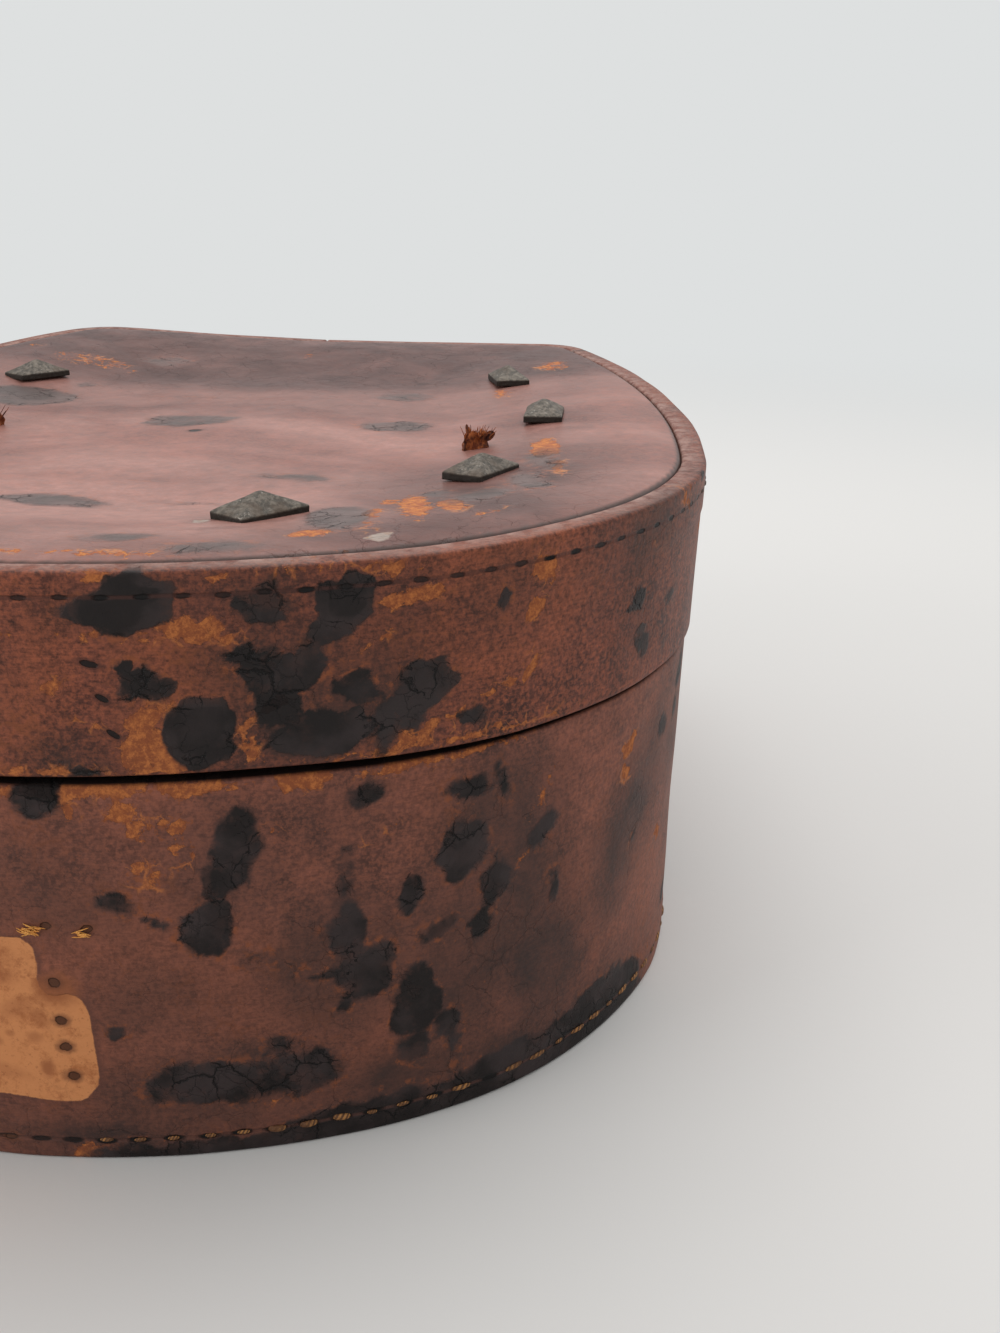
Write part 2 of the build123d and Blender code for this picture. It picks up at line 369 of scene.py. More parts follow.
class Shading:
    # Builds nodes in the tree of one material, group or world
    def __init__(self, nodeTree):
        self.nodeTree = nodeTree

    def put(self, value, socket):
        # A Value is linked, and anything else becomes the socket's own value
        if isinstance(value, Value):
            self.nodeTree.links.new(value.socket, socket)
        else:
            socket.default_value = (*value, 1) if socket.type == "RGBA" and len(value) == 3 else value

    def add(self, kind, values=None, **settings):
        made = self.nodeTree.nodes.new(kind)
        for key, value in settings.items():
            setattr(made, key, value)
        for key, value in (values or {}).items():
            self.put(value, made.inputs[key])
        return Outputs(self, made)

    def reckon(self, operation, a, b=0.0):
        return self.add("ShaderNodeMath", {0: a, 1: b}, operation=operation)[0]

    def step(self, value, low, high):
        ends = {"Value": value, "From Min": low, "From Max": high}
        return self.add("ShaderNodeMapRange", ends, interpolation_type="SMOOTHSTEP")["Result"]

    def blend(self, factor, a, b, way="MIX"):
        return self.add("ShaderNodeMix", {0: factor, 6: a, 7: b}, data_type="RGBA", blend_type=way)[2]

    def cloud(self, vector, scale, detail=4.0, rough=0.55, twist=0.0):
        return self.add("ShaderNodeTexNoise", {"Vector": vector, "Scale": scale, "Detail": detail,
                                               "Roughness": rough, "Distortion": twist})["Fac"]

    def vector(self, operation, a, b):
        # SCALE takes a factor, the others a second vector
        return self.add("ShaderNodeVectorMath", {0: a, "Scale" if operation == "SCALE" else 1: b},
                        operation=operation)[0]

    def stretch(self, vector, scale, turn=(0, 0, 0)):
        return self.add("ShaderNodeMapping", {"Vector": vector, "Scale": scale, "Rotation": turn})[0]

    def grey(self, tone):
        return self.add("ShaderNodeCombineColor", {0: tone, 1: tone, 2: tone})[0]

    def parts(self, vector):
        return self.add("ShaderNodeSeparateXYZ", {0: vector})

    def attribute(self, name):
        return self.add("ShaderNodeAttribute", attribute_name=name)

    def use(self, group, values):
        return self.add("ShaderNodeGroup", values, node_tree=group)


def newGroup(name, inputs, outputs):
    # Inputs without a value are vectors
    group = bpy.data.node_groups.new(name, "ShaderNodeTree")
    for label, value in inputs.items():
        isVector = value is None or isinstance(value, tuple)
        kind = "NodeSocketVector" if isVector else "NodeSocketFloat"
        socket = group.interface.new_socket(name=label, in_out="INPUT", socket_type=kind)
        if value is not None:
            socket.default_value = value
    for label in outputs:
        group.interface.new_socket(name=label, in_out="OUTPUT", socket_type="NodeSocketFloat")
    tree = Shading(group)
    return group, tree, tree.add("NodeGroupInput"), group.nodes.new("NodeGroupOutput").inputs


# Grain of old hide: a fine pebble with pores, crossed hatching, mottling and tiny rubbed flecks
hideGrain, tree, entry, leave = newGroup("hideGrain", {"Place": None, "Scale": 1.0},
                                         ["Height", "Mottle", "Fleck", "Fine", "Speckle"])
sized = tree.vector("SCALE", entry["Place"], entry["Scale"])
pebble = tree.cloud(sized, 1300, 3, 0.6)
pores = tree.add("ShaderNodeTexVoronoi", {"Vector": sized, "Scale": 950})["Distance"]
hatchA = tree.cloud(tree.stretch(sized, (300, 300, 2600), (0, math.radians(38), 0)), 1.0, 3, 0.6)
hatchB = tree.cloud(tree.stretch(sized, (300, 300, 2600), (0, math.radians(-33), 0)), 1.0, 3, 0.6)
hatch = tree.reckon("MINIMUM", hatchA, hatchB)
tree.put(pebble * 0.55 + pores * 0.40 + hatch * 0.9, leave["Height"])
tree.put(tree.cloud(sized, 75, 6, 0.62, 0.4), leave["Mottle"])
fleck = tree.step(tree.cloud(sized, 620, 5, 0.75), 0.60, 0.68) * tree.step(tree.cloud(sized, 60, 3, 0.6), 0.45, 0.65)
tree.put(fleck, leave["Fleck"])
tree.put(tree.cloud(sized, 420, 6, 0.7), leave["Fine"])
tree.put(tree.step(tree.cloud(sized, 1500, 3, 0.7) + hatch * 0.35, 0.58, 0.78), leave["Speckle"])

# Gives a soft painted mask a torn, crisp edge
brokenEdge, tree, entry, leave = newGroup("brokenEdge",
                                          {"Place": None, "Mask": 0.0, "Reach": 0.4, "Scale": 260.0, "Soft": 0.04},
                                          ["Sharp"])
ragged = tree.cloud(entry["Place"], entry["Scale"], 5, 0.62, 0.3) - 0.5
torn = entry["Mask"] + ragged * entry["Reach"]
tree.put(tree.step(torn, 0.5 - entry["Soft"], 0.5 + entry["Soft"]), leave["Sharp"])

# Drying cracks: wandering cell borders that fade in and out
dryCracks, tree, entry, leave = newGroup("dryCracks", {"Place": None, "Scale": 190.0, "Width": 0.05}, ["Crack"])
bent = tree.add("ShaderNodeTexNoise", {"Vector": entry["Place"], "Scale": 330, "Detail": 4, "Roughness": 0.6})["Color"]
push = tree.vector("SCALE", bent, 0.0032)
moved = tree.vector("ADD", entry["Place"], push)
border = tree.add("ShaderNodeTexVoronoi", {"Vector": moved, "Scale": entry["Scale"]},
                  feature="DISTANCE_TO_EDGE")["Distance"]
thin = entry["Width"] * tree.step(tree.cloud(entry["Place"], 130, 2), 0.44, 0.66)
line = (1.0 - border / (thin + 0.0001)).clamped()
tree.put(line, leave["Crack"])

# One oval prick, slit or blotch at a given place on the unrolled hide
ovalInputs = {"Place": None, "Centre": (0, 0, 0), "Turn": 0.0, "Half Length": 0.001, "Half Height": 0.0005,
              "Soft": 0.35}
ovalMark, tree, entry, leave = newGroup("ovalMark", ovalInputs, ["Mark"])
away = tree.vector("SUBTRACT", entry["Place"], entry["Centre"])
apart = tree.parts(away)
cosTurn, sinTurn = tree.reckon("COSINE", entry["Turn"]), tree.reckon("SINE", entry["Turn"])
along = apart["X"] * cosTurn + apart["Z"] * sinTurn
across = apart["Z"] * cosTurn - apart["X"] * sinTurn
shareA = along / entry["Half Length"]
shareB = across / entry["Half Height"]
radius = tree.reckon("SQRT", shareA * shareA + shareB * shareB)
wobble = (tree.cloud(entry["Place"], 900, 3) - 0.5) * 0.9
fromEdge = 1.0 - (radius + wobble)
tree.put(tree.step(fromEdge / entry["Soft"], -0.5, 0.5), leave["Mark"])

# A row of stitch pricks with the sunk line between them
rowInputs = {"Place": None, "Level": 0.0, "Pitch": 0.0044, "Shift": 0.0, "Half Length": 0.0006, "Half Height": 0.0004,
             "Bold From": -1.0}
prickRow, tree, entry, leave = newGroup("prickRow", rowInputs, ["Hole", "Line"])
apart = tree.parts(entry["Place"])
drift = (tree.cloud(entry["Place"], 90, 2) - 0.5) * 0.0008
fromStart = apart["X"] - entry["Shift"] + drift
cellX = (tree.reckon("FRACT", fromStart / entry["Pitch"]) - 0.5) * entry["Pitch"]
sway = (tree.cloud(entry["Place"], 120, 2) - 0.5) * 0.0007
cellZ = apart["Z"] + sway - entry["Level"]
ratioX, ratioZ = cellX / entry["Half Length"], cellZ / entry["Half Height"]
spread = tree.reckon("SQRT", ratioX * ratioX + ratioZ * ratioZ)
uneven = (tree.cloud(entry["Place"], 700, 3) - 0.5) * 1.1
pastStart = apart["X"] - entry["Bold From"]
worn = 0.42 + tree.step(pastStart, -0.001, 0.002) * 0.33
worn = worn + tree.step(tree.cloud(entry["Place"], 55, 2), 0.36, 0.52) * 0.25
tree.put((1.0 - tree.step(spread + uneven, 0.65, 1.2)) * worn, leave["Hole"])
tree.put(1.0 - tree.step(tree.reckon("ABSOLUTE", cellZ), 0.0001, 0.0004), leave["Line"])

# Plain weave of lining cloth, seen on any face
clothWeave, tree, entry, leave = newGroup("clothWeave", {"Place": None, "Scale": 1.0}, ["Height", "Wear", "Thread"])
sized = tree.vector("SCALE", entry["Place"], entry["Scale"])
wobbled = tree.add("ShaderNodeTexNoise", {"Vector": sized, "Scale": 300, "Detail": 2})["Color"]
nudge = tree.vector("SCALE", wobbled, 0.0006)
sized = tree.vector("ADD", sized, nudge)
apart = tree.parts(sized)
rows = [tree.reckon("SINE", apart[axis] * 5600) for axis in "XYZ"]
weave = rows[0] * rows[1] + rows[1] * rows[2] + rows[0] * rows[2]
tree.put(weave * 0.5 + tree.cloud(sized, 900, 3), leave["Height"])
tree.put(tree.cloud(sized, 48, 5, 0.65), leave["Wear"])
tree.put(tree.step(weave, -0.6, 0.8), leave["Thread"])
print("node groups ready")


def newMaterial(name, look):
    material = bpy.data.materials.new(name)
    material.use_nodes = True
    tree = Shading(material.node_tree)
    shader = material.node_tree.nodes["Principled BSDF"]
    for key, socket in (("specular", "Specular IOR Level"), ("sheen", "Sheen Weight"), ("metal", "Metallic")):
        if key in look:
            shader.inputs[socket].default_value = look[key]
    place = tree.add("ShaderNodeTexCoord")["Object"]
    return material, tree, shader, place


def finish(tree, shader, colour, roughness, height, distance=0.001):
    tree.put(colour, shader.inputs["Base Color"])
    tree.put(roughness, shader.inputs["Roughness"])
    bump = tree.add("ShaderNodeBump", {"Height": height, "Distance": distance, "Strength": 1.0})
    tree.put(bump[0], shader.inputs["Normal"])


# Colours and gloss of the stained hide, as the photograph shows them
# rim colours the cut edges and flesh side: paler raw leather, partly a painted highlight
lidLook = {"brown": (0.162, 0.050, 0.032), "deep": (0.066, 0.023, 0.017), "warm": (0.228, 0.066, 0.032),
           "speckle": (0.330, 0.092, 0.042), "orange": (0.470, 0.155, 0.046), "orangeDeep": (0.255, 0.074, 0.028),
           "tar": (0.0085, 0.0066, 0.0066), "tarGrey": (0.030, 0.022, 0.022), "thinTar": (0.058, 0.027, 0.021),
           "shadeTone": (0.036, 0.022, 0.019), "crack": (0.003, 0.002, 0.002), "tan": (0.600, 0.245, 0.096),
           "tanDark": (0.300, 0.098, 0.038), "rim": (0.420, 0.250, 0.205), "prick": (0.004, 0.003, 0.003),
           "aroundPrick": (0.074, 0.026, 0.018), "bloom": (0.200, 0.090, 0.065), "bloomShare": 0.0, "shadeShare": 0.74,
           "gloss": 0.50, "specular": 0.22, "grain": 1.0, "grit": 1.9, "tarSoft": 0.07}
baseLook = dict(lidLook, brown=(0.205, 0.074, 0.050), deep=(0.098, 0.040, 0.030), warm=(0.240, 0.080, 0.048),
                speckle=(0.300, 0.100, 0.056), tarGrey=(0.036, 0.026, 0.026), thinTar=(0.070, 0.034, 0.028),
                shadeTone=(0.036, 0.024, 0.022), prick=(0.085, 0.032, 0.016), aroundPrick=(0.150, 0.052, 0.026),
                shadeShare=0.84, gloss=0.54, specular=0.20, grit=1.1, tarSoft=0.14)
# The lid top's colours are lighter and pinker than the walls': part of the top's grazing sheen is painted into them
topLook = dict(lidLook, brown=(0.270, 0.122, 0.102), deep=(0.170, 0.075, 0.062), warm=(0.325, 0.135, 0.106),
               speckle=(0.340, 0.140, 0.100), orange=(0.620, 0.235, 0.062), orangeDeep=(0.400, 0.120, 0.052),
               tar=(0.082, 0.056, 0.050), tarGrey=(0.150, 0.098, 0.088), thinTar=(0.170, 0.092, 0.080),
               shadeTone=(0.070, 0.027, 0.022), shadeShare=0.96, bloom=(0.430, 0.225, 0.190), bloomShare=0.75,
               tan=(0.40, 0.33, 0.285), tanDark=(0.235, 0.150, 0.125), crack=(0.024, 0.012, 0.010), gloss=0.42,
               specular=0.20, grain=0.55, grit=0.30, tarSoft=0.25)


def makeHide(name, look, seams=(), pricks=(), blotches=()):
    # Stained hide with painted marks: tar with drying cracks, scuffs to the orange core, bare tan patches
    material, tree, shader, place = newMaterial(name, look)

    def edge(mask, reach, scale, soft=0.04):
        return tree.use(brokenEdge, {"Place": place, "Mask": mask, "Reach": reach, "Scale": scale,
                                     "Soft": soft})["Sharp"]

    def crack(scale, width):
        return tree.use(dryCracks, {"Place": place, "Scale": scale, "Width": width})["Crack"]

    def oval(x, z, halfLength, halfHeight, turn, soft, grow=1.0):
        return tree.use(ovalMark, {"Place": flat, "Centre": (x * mm, 0, z * mm), "Turn": math.radians(turn),
                                   "Soft": soft, "Half Length": halfLength * grow * mm,
                                   "Half Height": halfHeight * grow * mm})["Mark"]

    # Painted masks: tar in red, scuffs in green, bare skin in blue, shade in alpha
    marks = tree.attribute("marks")
    masks = tree.add("ShaderNodeSeparateColor", {0: marks["Color"]})
    cutEdgeAndHighlight = tree.attribute("cutEdgeAndHighlight")["Fac"]
    gapShade = tree.attribute("gapShade")["Fac"]
    flat = tree.attribute("flatPlace")["Vector"]
    grain = tree.use(hideGrain, {"Place": place})
    broad = tree.cloud(place, 26, 4, 0.6, 0.6)
    colour = tree.blend(tree.step(grain["Mottle"], 0.38, 0.70), look["brown"], look["deep"])
    colour = tree.blend(tree.step(broad, 0.46, 0.66) * 0.75, colour, look["warm"])
    # Bloom and painted sheen: drifting pale pink patches in the colour, partly the hide's hazy bloom and partly a
    # painted grazing reflection
    if look["bloomShare"]:
        drift = tree.cloud(tree.stretch(place, (1, 1.7, 1)), 17, 4, 0.55, 0.8)
        colour = tree.blend(tree.step(drift, 0.36, 0.60) * look["bloomShare"], colour, look["bloom"])
    colour = tree.blend(0.75, colour, tree.grey(grain["Fine"] * 1.7 + 0.15), "MULTIPLY")
    scratches = tree.cloud(tree.stretch(flat, (420, 420, 3000)), 1.0, 4, 0.65)
    specks = tree.cloud(place, 1500, 4, 0.75)
    gritTone = 1 - 1.35 * look["grit"] + scratches * (1.1 * look["grit"]) + specks * (1.6 * look["grit"])
    colour = tree.blend(0.8, colour, tree.grey(gritTone), "MULTIPLY")
    bright = tree.step(specks + scratches * 0.5, 0.84, 0.96)
    colour = tree.blend(bright * (0.42 * look["grit"]), colour, look["speckle"])
    rubbed = crack(360, 0.10) * tree.step(broad, 0.44, 0.62) * (0.42 * look["grit"])
    colour = tree.blend(rubbed.clamped(), colour, look["orangeDeep"])
    colour = tree.blend(grain["Speckle"] * 0.45, colour, look["speckle"])
    colour = tree.blend(grain["Fleck"] * 0.45, colour, look["orangeDeep"])
    shade = marks["Alpha"] * (0.40 + grain["Mottle"])
    colour = tree.blend((shade * look["shadeShare"]).clamped(), colour, look["shadeTone"])
    # Scuffs to the orange core
    scuffed = edge(masks["Green"], 1.6, 520)
    halo = edge(masks["Green"] * 0.80, 2.4, 1300)
    veins = crack(300, 0.11)
    lace = veins * tree.step(masks["Green"], 0.04, 0.35) * 0.9
    crumbs = tree.step(tree.cloud(place, 760, 6, 0.8), 0.42, 0.56)
    orange = tree.blend(tree.step(tree.cloud(place, 1100, 5, 0.75), 0.36, 0.60), look["orangeDeep"], look["orange"])
    colour = tree.blend(halo * 0.65, colour, look["orangeDeep"])
    colour = tree.blend(scuffed * 0.70, colour, look["orangeDeep"])
    colour = tree.blend(tree.reckon("MAXIMUM", scuffed * crumbs, lace), colour, orange)
    # Tar, thin at its edges, and the shaded hide round it
    tarHalo = edge(masks["Red"], 0.80, 300, 0.06 + 1.3 * look["tarSoft"])
    tarEdge = edge(masks["Red"] * 0.92, 0.85, 430, look["tarSoft"])
    nearTar = tree.step(masks["Red"], 0.10, 0.42) * tree.step(tree.cloud(place, 620, 5, 0.7), 0.50, 0.60)
    colour = tree.blend(nearTar * tree.step(broad, 0.40, 0.60) * 0.75, colour, look["orangeDeep"])
    colour = tree.blend(tarHalo * 0.80, colour, look["thinTar"])
    tar = tree.blend(tree.step(tree.cloud(place, 120, 4, 0.55), 0.40, 0.66), look["tar"], look["tarGrey"])
    worn = tree.step(tree.cloud(place, 210, 6, 0.7), 0.48, 0.64) * tree.step(masks["Red"], 1.15, 0.5) * 0.8
    tar = tree.blend(worn, tar, look["thinTar"])
    tar = tree.blend(tree.step(masks["Red"], 1.0, 1.14) * 0.85, tar, look["tar"])
    colour = tree.blend(tarEdge * 0.96, colour, tar)
    # Drying cracks in tar and shade
    cracks = crack(170, 0.042)
    fineCracks = crack(430, 0.07)
    inTar = tree.step(masks["Red"], 0.36, 0.6)
    inShade = (shade * 0.32).clamped()
    cracked = tree.reckon("MAXIMUM", cracks, fineCracks * 0.30) * tree.reckon("MAXIMUM", inTar, inShade)
    # Bare tan skin
    bareSkin = edge(masks["Blue"], 0.34, 480, 0.06)
    outlined = tree.step(masks["Blue"], 0.05, 0.36) * tree.step(grain["Fine"], 0.38, 0.55)
    colour = tree.blend(outlined * 0.6, colour, look["deep"])
    blotch = tree.step(tree.cloud(place, 210, 7, 0.80), 0.46, 0.68) * 0.85
    tan = tree.blend(blotch, look["tan"], look["tanDark"])
    tan = tree.blend(tree.step(grain["Fine"], 0.5, 0.75) * 0.35, tan, look["orange"])
    tan = tree.blend(tree.step(specks, 0.56, 0.70) * 0.55, tan, look["tanDark"])
    colour = tree.blend(bareSkin, colour, tan)
    # Cut edges, paler raw leather partly painted as a highlight, and the painted shade in the gap, coloured near black
    rim = tree.blend(tree.step(grain["Fine"], 0.35, 0.65), look["rim"], look["brown"])
    colour = tree.blend(cutEdgeAndHighlight * (0.35 + grain["Mottle"] * 0.8), colour, rim)
    colour = tree.blend(cracked * 0.9, colour, look["crack"])
    # Painted shade: the faces in the gap between lid and base, and the groove round the lid panel, turn near black
    colour = tree.blend(gapShade * 0.96, colour, look["tar"])
    height = grain["Height"] * (0.060 * look["grain"]) + tree.cloud(place, 150, 4, 0.6) * (0.22 * look["grain"])
    height = height + specks * (0.05 * look["grit"]) + tarEdge * 0.12
    height = height + scuffed * -0.08 + bareSkin * -0.14 + cracked * -0.34
    for spot in blotches:
        colour = tree.blend(oval(*spot[:5], 1.3) * spot[5], colour, look["tanDark"])
    for seam in seams:
        row = tree.use(prickRow, {"Place": flat, "Level": seam["level"], "Pitch": seam["pitch"], "Shift": seam["shift"],
                                  "Half Length": seam["halfLength"], "Half Height": seam["halfHeight"],
                                  "Bold From": seam["boldFrom"]})
        colour = tree.blend(row["Line"] * 0.60, colour, look["deep"])
        colour = tree.blend(row["Hole"], colour, look["crack"])
        height = height + row["Line"] * -0.12 + row["Hole"] * -0.5
    for prick in pricks:
        mark = oval(*prick, 0.35)
        colour = tree.blend(oval(*prick, 0.9, 1.7) * 0.75, colour, look["aroundPrick"])
        colour = tree.blend(mark * 0.92, colour, look["prick"])
        height = height + mark * -0.55
    rough = scuffed * 0.28 + bareSkin * 0.26 + (grain["Fine"] - 0.5) * 0.25 + look["gloss"]
    finish(tree, shader, colour, rough, height)
    return material


def makeCloth(name, colours):
    # Faded, dusty woven cotton
    material, tree, shader, place = newMaterial(name, {"specular": 0.25, "sheen": 0.15})
    weave = tree.use(clothWeave, {"Place": place})
    colour = tree.blend(tree.step(weave["Wear"], 0.35, 0.70), colours[0], colours[1])
    colour = tree.blend(weave["Thread"] * 0.45, colour, colours[2])
    spots = tree.step(tree.cloud(place, 85, 5, 0.7), 0.60, 0.72)
    colour = tree.blend(spots * 0.5, colour, colours[3])
    rough = 0.78 + weave["Wear"] * 0.2
    finish(tree, shader, colour, rough, weave["Height"], 0.0001)
    return material


def makeBoard(name, colours):
    # Grey-brown pasteboard with fibres and foxing
    material, tree, shader, place = newMaterial(name, {"specular": 0.2})
    fibres = tree.cloud(tree.stretch(place, (1, 2.4, 1), (0, 0, 0.5)), 1100, 4, 0.7)
    colour = tree.blend(tree.step(fibres, 0.35, 0.65), colours[0], colours[1])
    foxing = tree.step(tree.cloud(place, 140, 5, 0.7), 0.58, 0.72)
    colour = tree.blend(foxing * 0.6, colour, colours[2])
    finish(tree, shader, colour, 0.8 + fibres * 0.15, fibres, 0.00012)
    return material


def makeThread(name, colours):
    # Waxed linen, its two plies twisted round along each stitch's own UV map
    material, tree, shader, place = newMaterial(name, {"specular": 0.3})
    own = tree.add("ShaderNodeUVMap")[0]
    apart = tree.parts(own)
    turns = apart["X"] * (2 * math.pi * 2) + apart["Y"] * (2 * math.pi * 5)
    ply = tree.step(tree.reckon("SINE", turns), -0.9, 0.6)
    dirtAndShade = tree.cloud(place, 420, 4, 0.7)
    colour = tree.blend(ply, colours[2], colours[0])
    colour = tree.blend(tree.step(dirtAndShade, 0.42, 0.62), colour, colours[1])
    height = ply * 0.6 + tree.cloud(place, 2600, 3, 0.6) * 0.6
    finish(tree, shader, colour, 0.62, height, 0.00012)
    return material


print("materials ready")

baseWallSet = {
    "thickness": 3.2 * mm, "step": 1.1 * mm, "rounding": 0.55 * mm, "flare": (-0.8 * mm, 0.9 * mm, 0.2 * mm),
    "gapLevel": baseTop / mm, "soft": 1.3,
    # along the wall from the toe, height, half length, half height, turn, strength (mm, degrees)
    "stains": [(9.6, 55, 2.5, 2.6, 0, 0.85), (33.4, 47, 3, 4.8, -8), (31.6, 42.5, 3, 3.0, -25),
               (29.4, 35.6, 3.9, 4.4, -15), (35, 30.6, 4.6, 0.9, -28, 0.75), (42, 27.6, 3.6, 0.7, -14, 0.7),
               (18, 39.3, 2.5, 1.25, -14), (22.8, 36.7, 1.2, 0.9, -20), (25.6, 34.6, 1, 0.7, -20), (16.5, 20.1, 2, 1.8),
               (30, 11.2, 12, 3.8, 2, 0.80), (41, 11.6, 6, 3.6, 0, 0.76), (24, 13.4, 3.5, 2.6, 0, 0.74),
               (37.5, 15.8, 3.6, 1.6, 0, 0.68), (47, 22, 2, 1, 35), (63.4, 42, 3.8, 4.6), (55.8, 36.4, 2.2, 3.4),
               (47, 32.6, 2.7, 4.4), (49.4, 26.2, 4.2, 3.8, 20), (46.8, 39.6, 1.7, 3.6, 0, 0.72),
               (48, 44, 1.3, 2.4, 0, 0.66), (56.6, 19.6, 4.1, 6.0, 0, 0.9), (56, 12, 3.0, 3.0, 0, 0.78),
               (50.4, 53, 1.9, 1.9), (64, 50.6, 3.6, 2.8, 0, 0.85), (69.4, 51, 1.4, 3.6, 12, 0.9),
               (68.8, 35.6, 2.2, 4.2, -18), (66.2, 29.4, 1.8, 2.6), (59.4, 30.2, 2.6, 1.3, 15), (61.8, 15, 2.2, 2.6),
               (62.6, 11, 1.2, 2.6, 0, 0.9), (76.5, 41, 3.4, 1.8, 35), (79, 31, 1.4, 3, 0), (27, 0.6, 17, 2.6, 2),
               (50, 1.6, 15, 4, 2), (70, 2.4, 13, 5.4, 4), (92, 3, 16, 6.4), (45, 27.2, 2.6, 0.8, -25)],
    "scuffs": [(13.5, 55.9, 9.0, 1.1), (28.2, 55.7, 5.4, 1.0), (-8, 56, 6, 0.6, 0, 0.8), (13.8, 53.4, 0.8, 1.5),
               (19.6, 52.9, 1.7, 1.6, 20), (21.3, 50.4, 0.9, 1.4), (42, 55.6, 3.3, 1.7), (55, 56, 5, 0.8, 3),
               (66, 56.4, 5, 0.5), (21.8, 43.8, 3.2, 2.2, -20, 0.5), (27, 47.6, 1.6, 3, 0, 0.5),
               (25.6, 50.6, 2.6, 1.6, 0, 0.55), (37.8, 48.6, 1.4, 0.7, 0, 0.55), (10.8, 0.9, 1.6, 1.9),
               (51.5, 46.6, 3.4, 0.6, 25, 0.5), (76.5, 46.5, 0.9, 3, -30, 0.7), (73.4, 38, 0.7, 2.6, -35, 0.6),
               (6, 56.3, 3, 0.4, 0, 0.6), (36, 7.4, 1.2, 0.7, 0, 0.55)],
    "shade": [(4, 45, 14, 5, 0, 0.5), (12, 39, 10, 4, 0, 0.8), (22, 24, 14, 8, 0, 0.55), (46, 27, 12, 12, 0, 0.85),
              (64, 24, 10, 16), (70, 44, 10, 10), (78, 18, 10, 15), (72, 32, 9, 16), (31, 10, 20, 8), (14, 4, 24, 5),
              (60, 6, 40, 8), (45, 50, 7, 5, 0, 0.4), (30, 42, 8, 10, 0, 0.7)],
    "scar": [(-13, 33), (-12, 34.6), (5.5, 34.7), (6.7, 33.2), (7, 31), (6.7, 28.2), (7.5, 26.6), (9.2, 26.2),
             (11, 26.8), (12.4, 25.6), (13, 23.2), (13.2, 18.2), (13.3, 12.2), (11, 9.6), (7.5, 9.5), (0, 10.2),
             (-11, 9.8), (-13.4, 12)],
    "pricks": [(9, 28.2, 0.75, 0.6, 0), (9.2, 22.4, 0.75, 0.6, 0), (9.4, 18.2, 0.75, 0.6, 0), (9.9, 13.6, 0.8, 0.6, 0),
               (-9, 27.8, 0.7, 0.6, 0), (-9, 22.6, 0.7, 0.6, 0), (-9.2, 17.8, 0.7, 0.6, 0), (-9.6, 13, 0.7, 0.6, 0),
               (0.2, 3.2, 0.8, 0.5, 0), (8.8, 36.6, 0.7, 0.5, 15), (14, 36.2, 0.8, 0.5, 20)],
    "blotches": [(-2, 31.6, 5, 1.8, 4, 0.5), (9.6, 27.2, 2.2, 2.4, 0, 0.75), (3.4, 24.2, 2.4, 1.2, 30, 0.4),
                 (0.5, 14, 3.2, 1, -15, 0.35), (6.6, 14.8, 0.9, 1.3, 0, 0.8), (5.4, 19.6, 1, 0.8, 0, 0.5),
                 (7.8, 27, 1.6, 1.8, 0, 0.7), (2.2, 28.6, 1.8, 1.1, 0, 0.35), (2, 20, 0.6, 0.5, 0, 0.5),
                 (0.2, 18.6, 0.6, 0.6, 0, 0.5), (6.4, 22.6, 1.1, 1.6, 30, 0.5)],
}
baseSeam = {"level": 3.2 * mm, "pitch": 4.55 * mm, "shift": 2.12 * mm, "halfLength": 1.5 * mm, "halfHeight": 0.42 * mm,
            "boldFrom": -1.0}
